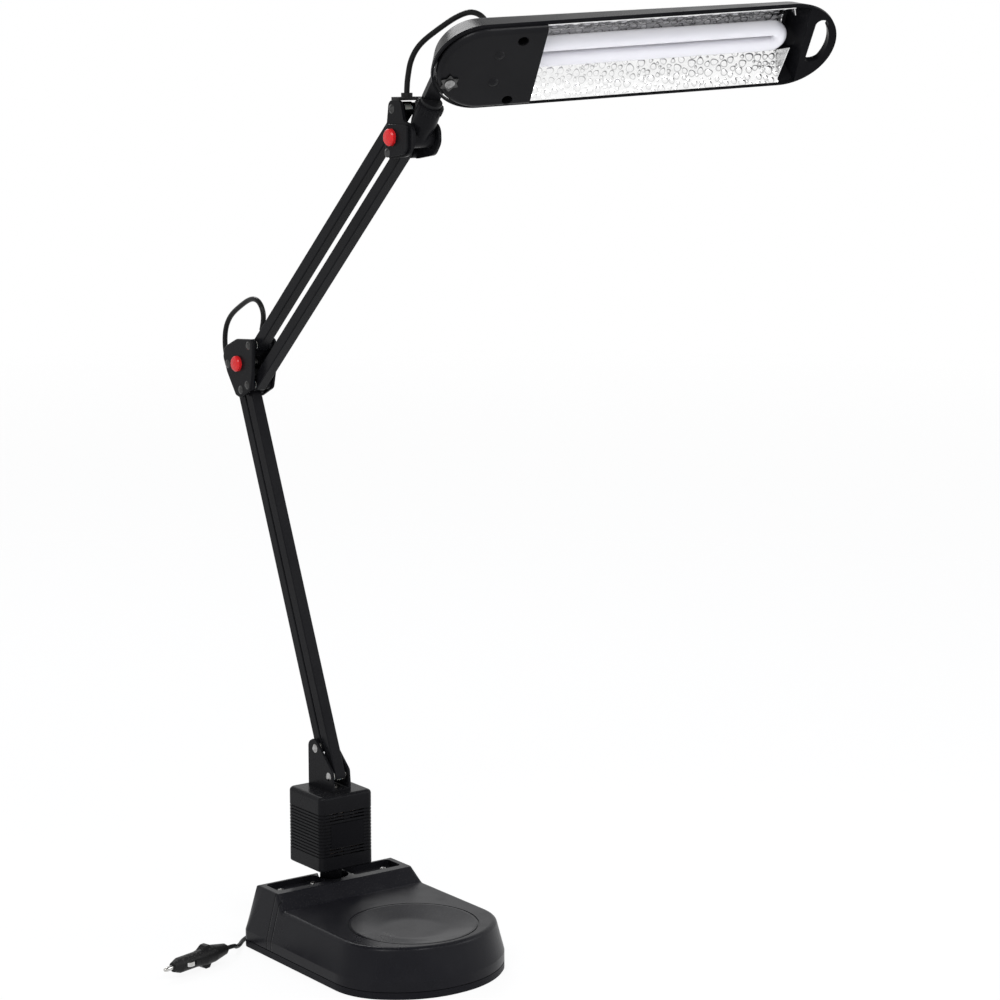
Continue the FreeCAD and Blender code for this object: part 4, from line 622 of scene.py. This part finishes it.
plug_plastic = grouped_finish("plug_moulding", skin_group, 0.00006,
                              {"Tone": grey(0.008), "Worn tone": grey(0.016), "Grain": 2400.0,
                               "Polish": 0.34, "Dull": 0.48, "Dust": 0.4}, Specular_IOR_Level=0.08)
dress(plug_plastic, "black_shell", "plug_body")
nickel = grouped_finish("nickel_plate", metal_group, 0.00003,
                        {"Tone": grey(0.6), "Tarnish": (0.4, 0.39, 0.36, 1), "Lines": 1800.0,
                         "Polish": 0.14, "Dull": 0.3}, Metallic=1.0)
dress(nickel, "bright_steel", "plug_pin", "plug_contacts")


# Ballast case and bracket
# The ribbed case is a black moulding on a short neck; the choke stands in it on a lid. The folded
# steel bracket on top is painted and carries both pairs of lower bars.

case_abs = grouped_finish("ribbed_case_abs", skin_group, 0.00007,
                          {"Tone": deep_black, "Worn tone": worn_black,
                           "Grain": 2400.0, "Polish": 0.24, "Dull": 0.34, "Dust": 0.15},
                          Specular_IOR_Level=0.06)
dress(case_abs, "black_shell", "ballast_case", "neck_spigot", "case_lid")
painted_steel = grouped_finish("black_stove_enamel", skin_group, 0.00006,
                               {"Tone": deep_black, "Worn tone": worn_black,
                                "Grain": 1300.0, "Polish": 0.22, "Dull": 0.32, "Dust": 0.12},
                               Specular_IOR_Level=0.05)
dress(painted_steel, "black_steel", "arm_bracket")
label_film = grouped_finish("blank_label_film", skin_group, 0.00002,
                            {"Tone": (0.004, 0.004, 0.005, 1), "Worn tone": (0.006, 0.006, 0.007, 1),
                             "Grain": 700.0, "Polish": 0.22, "Dull": 0.3, "Dust": 0.1},
                            Specular_IOR_Level=0.04)
dress(label_film, "label_black", "label_plate")
core = grouped_finish("varnished_laminations", metal_group, 0.0001,
                      {"Tone": grey(0.22), "Tarnish": (0.16, 0.09, 0.05, 1), "Lines": 2200.0,
                       "Polish": 0.4, "Dull": 0.6}, Metallic=0.7)
dress(core, "core_steel", "ballast")
rivet_steel = grouped_finish("rivet_steel", metal_group, 0.00004,
                             {"Tone": grey(0.38), "Tarnish": (0.2, 0.19, 0.18, 1), "Lines": 1600.0,
                              "Polish": 0.2, "Dull": 0.42}, Metallic=1.0)
dress(rivet_steel, "bright_steel", "bracket_pins")


# Arms
# Four square steel tubes with rounded ends, black enamel over a fine orange peel, with a nylon bush
# in each pivot hole.

bars = ("lower_front_bar", "lower_rear_bar", "upper_front_bar", "upper_rear_bar")
dress(painted_steel, "black_steel", *bars)
dress(nylon, "bush_plastic", *[bar + "_bushes" for bar in bars])


# Elbow and wrist
# Two moulded shells at the elbow and two flat plates at the wrist, held over the bars by dark rivets
# and drawn together by a bolt with a red push-on cap. A rubber boot lets the head's cable out.

joint_abs = grouped_finish("glossy_joint_moulding", skin_group, 0.00006,
                           {"Tone": deep_black, "Worn tone": worn_black,
                            "Grain": 2000.0, "Polish": 0.24, "Dull": 0.36, "Dust": 0.12},
                           Specular_IOR_Level=0.05)
dress(joint_abs, "black_shell", "elbow_shell_left", "elbow_shell_right", "wrist_plate_left",
      "wrist_plate_right", "neck_knuckle")
dress(zinc, "bright_steel", "elbow_bolt", "elbow_nut", "wrist_bolt", "wrist_nut")
dark_rivets = grouped_finish("blackened_rivets", metal_group, 0.00004,
                             {"Tone": grey(0.07), "Tarnish": grey(0.035), "Lines": 1500.0,
                              "Polish": 0.2, "Dull": 0.4}, Metallic=1.0)
dress(dark_rivets, "bright_steel", "elbow_pins", "wrist_pins")
red_plastic = grouped_finish("red_cap_plastic", skin_group, 0.00004,
                             {"Tone": (0.58, 0.01, 0.014, 1), "Worn tone": (0.66, 0.025, 0.025, 1),
                              "Grain": 1400.0, "Polish": 0.2, "Dull": 0.32, "Dust": 0.05},
                             Specular_IOR_Level=0.25)
dress(red_plastic, "red_cap", "elbow_cap", "wrist_cap")
dress(relief_rubber, "black_rubber", "cable_boot")


# Neck
# The knuckle's hub turns between the wrist plates; its cup, with a fluted grip, takes the stem's
# spindle. The tongue of the stem is flat steel.

neck_steel = grouped_finish("satin_black_steel", skin_group, 0.00005,
                            {"Tone": (0.006, 0.006, 0.007, 1), "Worn tone": (0.014, 0.014, 0.015, 1),
                             "Grain": 1500.0, "Polish": 0.24, "Dull": 0.4, "Dust": 0.2},
                            Specular_IOR_Level=0.1)
dress(neck_steel, "grey_steel", "neck_stem")

hub_middle = Vector((0, -132.86, 668.09)) * mm
neck_lean = math.radians(33.84)
neck_frame = Matrix.Translation(hub_middle) @ Matrix.Rotation(neck_lean, 4, "X")
# Each ring of the grip is (height along the neck, radius), in millimetres.
flute_rings = ((24.9, 9.9), (25.3, 10.8), (27.9, 11.0), (30.2, 10.8), (30.7, 9.9))
flutes, points_per_flute, flute_deep = 18, 4, 0.55
around = flutes * points_per_flute
verts, faces = [], []
for height, radius in flute_rings:
    for k in range(around):
        in_flute = k % points_per_flute == points_per_flute - 1
        reach = radius - (flute_deep if in_flute else 0.0)
        angle = 2 * math.pi * k / around
        verts.append((reach * math.cos(angle) * mm, reach * math.sin(angle) * mm, height * mm))
for row in range(len(flute_rings) - 1):
    for k in range(around):
        a, b = row * around + k, row * around + (k + 1) % around
        faces.append((a, b, b + around, a + around))
faces.append(tuple(reversed(range(around))))
faces.append(tuple(range((len(flute_rings) - 1) * around, len(flute_rings) * around)))
fluted_grip = face_mesh("fluted_grip", verts, faces)
fluted_grip.data.transform(neck_frame)
fluted_grip.data.materials.append(joint_abs)
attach(fluted_grip, "knuckle")


# Head: housing and cover
# One long glossy moulding, closed at its left end by a screwed cover. A bright screw on a star
# pressing holds the neck.

head_abs = grouped_finish("glossy_black_head", skin_group, 0.00004,
                          {"Tone": deep_black, "Worn tone": worn_black,
                           "Grain": 900.0, "Polish": 0.22, "Dull": 0.34, "Dust": 0.08},
                          Specular_IOR_Level=0.03)
dress(head_abs, "black_shell", "head_housing")
cover_abs = grouped_finish("satin_black_cover", skin_group, 0.00006,
                           {"Tone": deep_black, "Worn tone": worn_black,
                            "Grain": 2200.0, "Polish": 0.26, "Dull": 0.38, "Dust": 0.2},
                           Specular_IOR_Level=0.1)
dress(cover_abs, "black_shell", "end_cover", "switch_frame", "switch_rocker")
pivot_steel = grouped_finish("dull_pivot_steel", metal_group, 0.00003,
                             {"Tone": grey(0.34), "Tarnish": grey(0.16), "Lines": 1700.0,
                              "Polish": 0.16, "Dull": 0.34}, Metallic=1.0)
dress(pivot_steel, "bright_steel", "pivot_screw")
star_steel = grouped_finish("dark_star_pressing", metal_group, 0.00004,
                            {"Tone": grey(0.08), "Tarnish": grey(0.03), "Lines": 1200.0,
                             "Polish": 0.2, "Dull": 0.38}, Metallic=1.0)
dress(star_steel, "bright_steel", "pivot_star")

# The head's own axes: u runs along it, w across it and n out of its open side.
head_origin = Vector((59.493, -207.825, 723.942)) * mm
head_right = Vector((0.929198, -0.364149, 0.063139))
head_up = Vector((-0.277024, -0.573168, 0.771192))
head_face = Vector((-0.244639, -0.734081, -0.633464))
head_axes = Matrix((head_right, head_up, head_face)).transposed().to_4x4()
head_frame = Matrix.Translation(head_origin) @ head_axes
recess_floor = -4.5
cover_heads = settle(cross_head("cover_screw_heads", head_radius, head_rim, head_crown),
                     [head_frame @ Matrix.Translation((u * mm, w * mm, recess_floor * mm))
                      @ Matrix.Rotation(turn, 4, "Z")
                      for u, w, turn in ((-16.7, 26.2, 0.5), (-22.5, -30.7, 0.2))])
black_zinc = grouped_finish("black_zinc_screws", metal_group, 0.00003,
                            {"Tone": grey(0.09), "Tarnish": grey(0.05), "Lines": 1500.0,
                             "Polish": 0.25, "Dull": 0.45}, Metallic=1.0)
cover_heads.data.materials.append(black_zinc)
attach(cover_heads, "head")
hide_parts("cover_screws")


# Reflector
# Bright anodised sheet, hammered all over into small drop-shaped marks and bent to a trough behind
# the lamp, with a painted dark ring of reflection and shade round each mark. Two small flanks of the
# same sheet stand at its far end.

trough_near, trough_far = -7.0, 198.0
trough_profile = [(37.3, -0.3), (29.4, -11.4), (15.5, -20.6)]
# Besides the bend and the sheet, these give the width of the painted dark ring round each mark, and the
# direction of light whose painted shade falls on the ring's far side.
bend_radius, sheet_thick, facet, painted_outline_wide = 10.0, 0.6, 0.5, 0.55
bend_steps, painted_light_side = 8, (0.5, 0.87)
# Each round of marks has its least and largest radius in millimetres, and the tries to place one.
mark_sizes = ((2.1, 3.4, 1700), (1.4, 2.0, 2400), (0.8, 1.1, 1500))
mark_apart, mark_reach, mark_deep, painted_rim_at = 1.04, 1.6, 0.17, 0.96
# The painted rings are fainter near the trough's near end, towards the sheet's long edges, and on the side
# towards the light.
painted_outline_near, painted_outline_middle, painted_shadow_least = 0.45, 0.65, 0.5


def rounded_profile():
    """The trough's inner line across the head, as evenly spaced (w, n, outward normal) samples."""
    flank = [(w - sheet_thick, n) for w, n in trough_profile[:1]]
    flank += [(w - sheet_thick, n + sheet_thick) for w, n in trough_profile[1:]]
    corners = [Vector(corner) for corner in [(-w, n) for w, n in flank] + flank[::-1]]
    line = [corners[0]]
    for before, corner, after in zip(corners, corners[1:], corners[2:]):
        back, ahead = (before - corner).normalized(), (after - corner).normalized()
        half = back.angle(ahead) / 2
        run = bend_radius / math.tan(half)
        middle = corner + (back + ahead).normalized() * (bend_radius / math.sin(half))
        first, last = corner + back * run, corner + ahead * run
        for step in range(bend_steps + 1):
            share = step / bend_steps
            spoke = ((first - middle).lerp(last - middle, share)).normalized()
            line.append(middle + spoke * bend_radius)
    line.append(corners[-1])
    reach = [0.0]
    for a, b in zip(line, line[1:]):
        reach.append(reach[-1] + (b - a).length)
    count = int(reach[-1] / facet)
    wanted = np.linspace(0, reach[-1], count + 1)
    across = np.interp(wanted, reach, [p.x for p in line])
    depth = np.interp(wanted, reach, [p.y for p in line])
    slope = np.gradient(across), np.gradient(depth)
    size = np.hypot(*slope)
    return across, depth, -slope[1] / size, slope[0] / size, reach[-1]


def hammer_marks(long, wide):
    """Drop-shaped marks on the flat sheet, large ones first: (u, s, size, turn, squeeze) of each."""
    draw = random.Random(29)
    marks = []
    for least, most, tries in mark_sizes:
        for _ in range(tries):
            size = draw.uniform(least, most)
            u, s = draw.uniform(0, long), draw.uniform(0, wide)
            if all((u - a) ** 2 + (s - b) ** 2 > (size * mark_apart + r * mark_apart) ** 2
                   for a, b, r, _, _ in marks):
                marks.append((u, s, size, draw.uniform(0, math.pi), draw.uniform(0.72, 1.0)))
    return marks


across, depth, out_w, out_n, wide = rounded_profile()
rows, columns = int((trough_far - trough_near) / facet) + 1, len(across)
long = trough_far - trough_near
grid_u, grid_s = np.meshgrid(np.linspace(0, long, rows), np.linspace(0, wide, columns), indexing="ij")
relief, painted_rim_shade = np.zeros_like(grid_u), np.zeros_like(grid_u)
for u, s, size, turn, squeeze in hammer_marks(long, wide):
    low_u, high_u = np.searchsorted(grid_u[:, 0], (u - size * mark_reach, u + size * mark_reach))
    low_s, high_s = np.searchsorted(grid_s[0], (s - size * mark_reach, s + size * mark_reach))
    du, ds = grid_u[low_u:high_u, low_s:high_s] - u, grid_s[low_u:high_u, low_s:high_s] - s
    along = (du * math.cos(turn) + ds * math.sin(turn)) / size
    drop_width = size * squeeze * np.clip(1 - 0.3 * along, 0.6, 1.3)
    athwart = (ds * math.cos(turn) - du * math.sin(turn)) / drop_width
    radius = np.hypot(along, athwart)
    dome = np.clip(1 - radius ** 3, 0, None) * mark_deep * size
    relief[low_u:high_u, low_s:high_s] = np.maximum(relief[low_u:high_u, low_s:high_s], dome)
    # Each mark's painted ring: a dark reflection at its edge, and painted shade strongest on its side away
    # from the light.
    painted_outline_strength = painted_outline_near + (1 - painted_outline_near) * u / long
    painted_outline_strength *= painted_outline_middle + (1 - painted_outline_middle) * abs(math.sin(math.pi * s / wide))
    away_from_light = np.clip((ds * painted_light_side[1] + du * painted_light_side[0]) / (radius * size + 0.01), 0, 1)
    painted_shade_share = painted_shadow_least + (1 - painted_shadow_least) * away_from_light
    painted_ring = np.exp(-((radius - painted_rim_at) / (painted_outline_wide / size)) ** 2) * painted_outline_strength * painted_shade_share
    painted_rim_shade[low_u:high_u, low_s:high_s] = np.maximum(painted_rim_shade[low_u:high_u, low_s:high_s], painted_ring)

front = np.stack([grid_u + trough_near, across[None, :] + relief * out_w[None, :],
                  depth[None, :] + relief * out_n[None, :]], axis=-1).reshape(-1, 3)
back = np.stack([np.repeat([trough_near, trough_far], columns),
                 np.tile(across - out_w * sheet_thick, 2), np.tile(depth - out_n * sheet_thick, 2)],
                axis=-1)
faces = []
for i in range(rows - 1):
    for j in range(columns - 1):
        a = i * columns + j
        faces.append((a, a + columns, a + columns + 1, a + 1))
first_back, last_row = rows * columns, (rows - 1) * columns
for j in range(columns - 1):
    near, far = first_back + j, first_back + columns + j
    faces.append((near, near + 1, far + 1, far))
    faces.append((j, j + 1, near + 1, near))
    faces.append((last_row + j + 1, last_row + j, far, far + 1))
faces.append(tuple([first_back + columns] + [i * columns for i in range(rows - 1, -1, -1)] + [first_back]))
faces.append(tuple([first_back + columns - 1] + [i * columns + columns - 1 for i in range(rows)]
                   + [first_back + 2 * columns - 1]))
hammered = face_mesh("hammered_reflector", (np.concatenate([front, back]) * mm).tolist(), faces)
# The painted rim shade is kept on the points for the material to read.
marks = hammered.data.attributes.new("painted_rim_shade", "FLOAT", "POINT")
whole_painted_rim_shade = np.concatenate([painted_rim_shade.reshape(-1), np.zeros(2 * columns)])
marks.data.foreach_set("value", whole_painted_rim_shade.astype(np.float32))
hammered.data.transform(head_frame)
shade(hammered, 55)

mirror = grouped_finish("hammered_bright_sheet", metal_group, 0.00002,
                        {"Tone": grey(0.93), "Tarnish": grey(0.86), "Lines": 600.0,
                         "Polish": 0.1, "Dull": 0.2}, Metallic=1.0)
tree = mirror.node_tree
shader = tree.nodes["Principled BSDF"]
sheet_tone = shader.inputs["Base Color"].links[0].from_socket
# The sheet's colour darkens to a painted shade at each mark's rim.
painted_rim_shade_attribute = tree.nodes.new("ShaderNodeAttribute")
painted_rim_shade_attribute.attribute_name = "painted_rim_shade"
painted_rim_from, painted_rim_full, painted_rim_shade_tone = 0.12, 0.6, (0.03, 0.03, 0.035, 1)
painted_rim_shade_share = ranged(tree, painted_rim_shade_attribute.outputs["Fac"], painted_rim_from, painted_rim_full)
link(tree, blended(tree, painted_rim_shade_share, sheet_tone, painted_rim_shade_tone), shader.inputs["Base Color"])
hammered.data.materials.append(mirror)
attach(hammered, "head")
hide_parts("reflector")

flank_corners = {"lower": [(197.6, -35.6, -3.4), (197.6, -29.3, -11.3), (197.6, -19, -18), (203, -7, -6)],
                 "upper": [(197.6, 35.6, -3.4), (197.6, 29.5, -11.2), (201, 26, -5)]}
verts, faces = [], []
for corners in flank_corners.values():
    first, count = len(verts), len(corners)
    verts += corners + [(u + sheet_thick, w, n) for u, w, n in corners]
    for k in range(1, count - 1):
        faces.append((first, first + k, first + k + 1))
        faces.append((first + count, first + count + k + 1, first + count + k))
    for k in range(count):
        after = (k + 1) % count
        faces.append((first + k, first + count + k, first + count + after, first + after))
flanks = face_mesh("reflector_flanks", [[value * mm for value in corner] for corner in verts], faces)
flanks.data.transform(head_frame)
bpy.ops.object.select_all(action="DESELECT")
bpy.context.view_layer.objects.active = flanks
flanks.select_set(True)
bpy.ops.object.mode_set(mode="EDIT")
bpy.ops.mesh.select_all(action="SELECT")
bpy.ops.mesh.normals_make_consistent(inside=False)
bpy.ops.object.mode_set(mode="OBJECT")
flank_sheet = grouped_finish("plain_bright_sheet", metal_group, 0.00003,
                             {"Tone": grey(0.8), "Tarnish": grey(0.7), "Lines": 900.0,
                              "Polish": 0.16, "Dull": 0.3}, Metallic=1.0)
flanks.data.materials.append(flank_sheet)
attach(flanks, "head")
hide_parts("reflector")


# Lamp
# A compact fluorescent lamp: one white-coated glass tube bent back on itself, set in a white foot
# that plugs into its holder under the cover.

coated_glass = grouped_finish("white_coated_glass", skin_group, 0.00001,
                              {"Tone": (0.91, 0.9, 0.94, 1), "Worn tone": (0.94, 0.93, 0.96, 1),
                               "Grain": 500.0, "Polish": 0.2, "Dull": 0.3, "Dust": 0.05},
                              Coat_Weight=1.0, Coat_Roughness=0.04)
dress(coated_glass, "lamp_glass", "lamp_tube")
white_foot = grouped_finish("white_lamp_foot", skin_group, 0.00004,
                            {"Tone": (0.7, 0.7, 0.68, 1), "Worn tone": (0.76, 0.76, 0.74, 1),
                             "Grain": 1800.0, "Polish": 0.3, "Dull": 0.45, "Dust": 0.05})
dress(white_foot, "lamp_white", "lamp_base", "lampholder")


# Cables between the joints
# The flex runs inside the tubes and shows only where it crosses the elbow and where it enters the
# head.

cable_thick = 4.4 * mm
flex = grouped_finish("glossy_black_flex", skin_group, 0.00003,
                      {"Tone": grey(0.006), "Worn tone": grey(0.012), "Grain": 1100.0,
                       "Polish": 0.24, "Dull": 0.36, "Dust": 0.3}, Specular_IOR_Level=0.1)


def bending_cable(name, points, node):
    """A stretch of cable along the points, standing in for the CAD node, which it hides."""
    piece = sleeve(name, points, [cable_thick / 2] * len(points))
    piece.data.materials.append(flex)
    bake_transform(piece)
    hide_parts(node)


elbow_route = smooth_lead("elbow_route", [(0, 138.9, 461.5), (0, 148.5, 462.4), (0, 156, 470.5),
                                          (0, 158.8, 483), (0, 156.9, 496.5), (0, 148.5, 507.6),
                                          (0, 132, 517), (0, 115.2, 524.6), (0, 103.4, 524.2),
                                          (0, 96, 517), (0, 94.8, 507.6), (0, 98.1, 499.4)], cable_thick)
bending_cable("elbow_flex", centreline(elbow_route), "elbow_cable")
bpy.data.objects.remove(elbow_route)

head_route = smooth_lead("head_route", [(0, -118.06, 701.31), (0, -118.46, 708.31), (0, -120, 715),
                                        (1, -121.5, 725), (4, -126, 735.5), (11, -132, 744.5),
                                        (24.32, -161.49, 763.82), (31.12, -175.1, 760.12),
                                        (28.92, -181.7, 754.42)], cable_thick)
head_line = centreline(head_route)
bpy.data.objects.remove(head_route)
total = sum((b - a).length for a, b in zip(head_line, head_line[1:]))
points_per_stretch = 28
stretches = (("wrist", "knuckle", 0.0, 0.16), ("knuckle", "neck", 0.16, 0.36),
             ("neck", "head", 0.36, 1.0))
for first, second, low, high in stretches:
    stretch = along_line(head_line, total * low, total * high, points_per_stretch)
    bending_cable("head_flex_" + second, stretch, "head_cable")
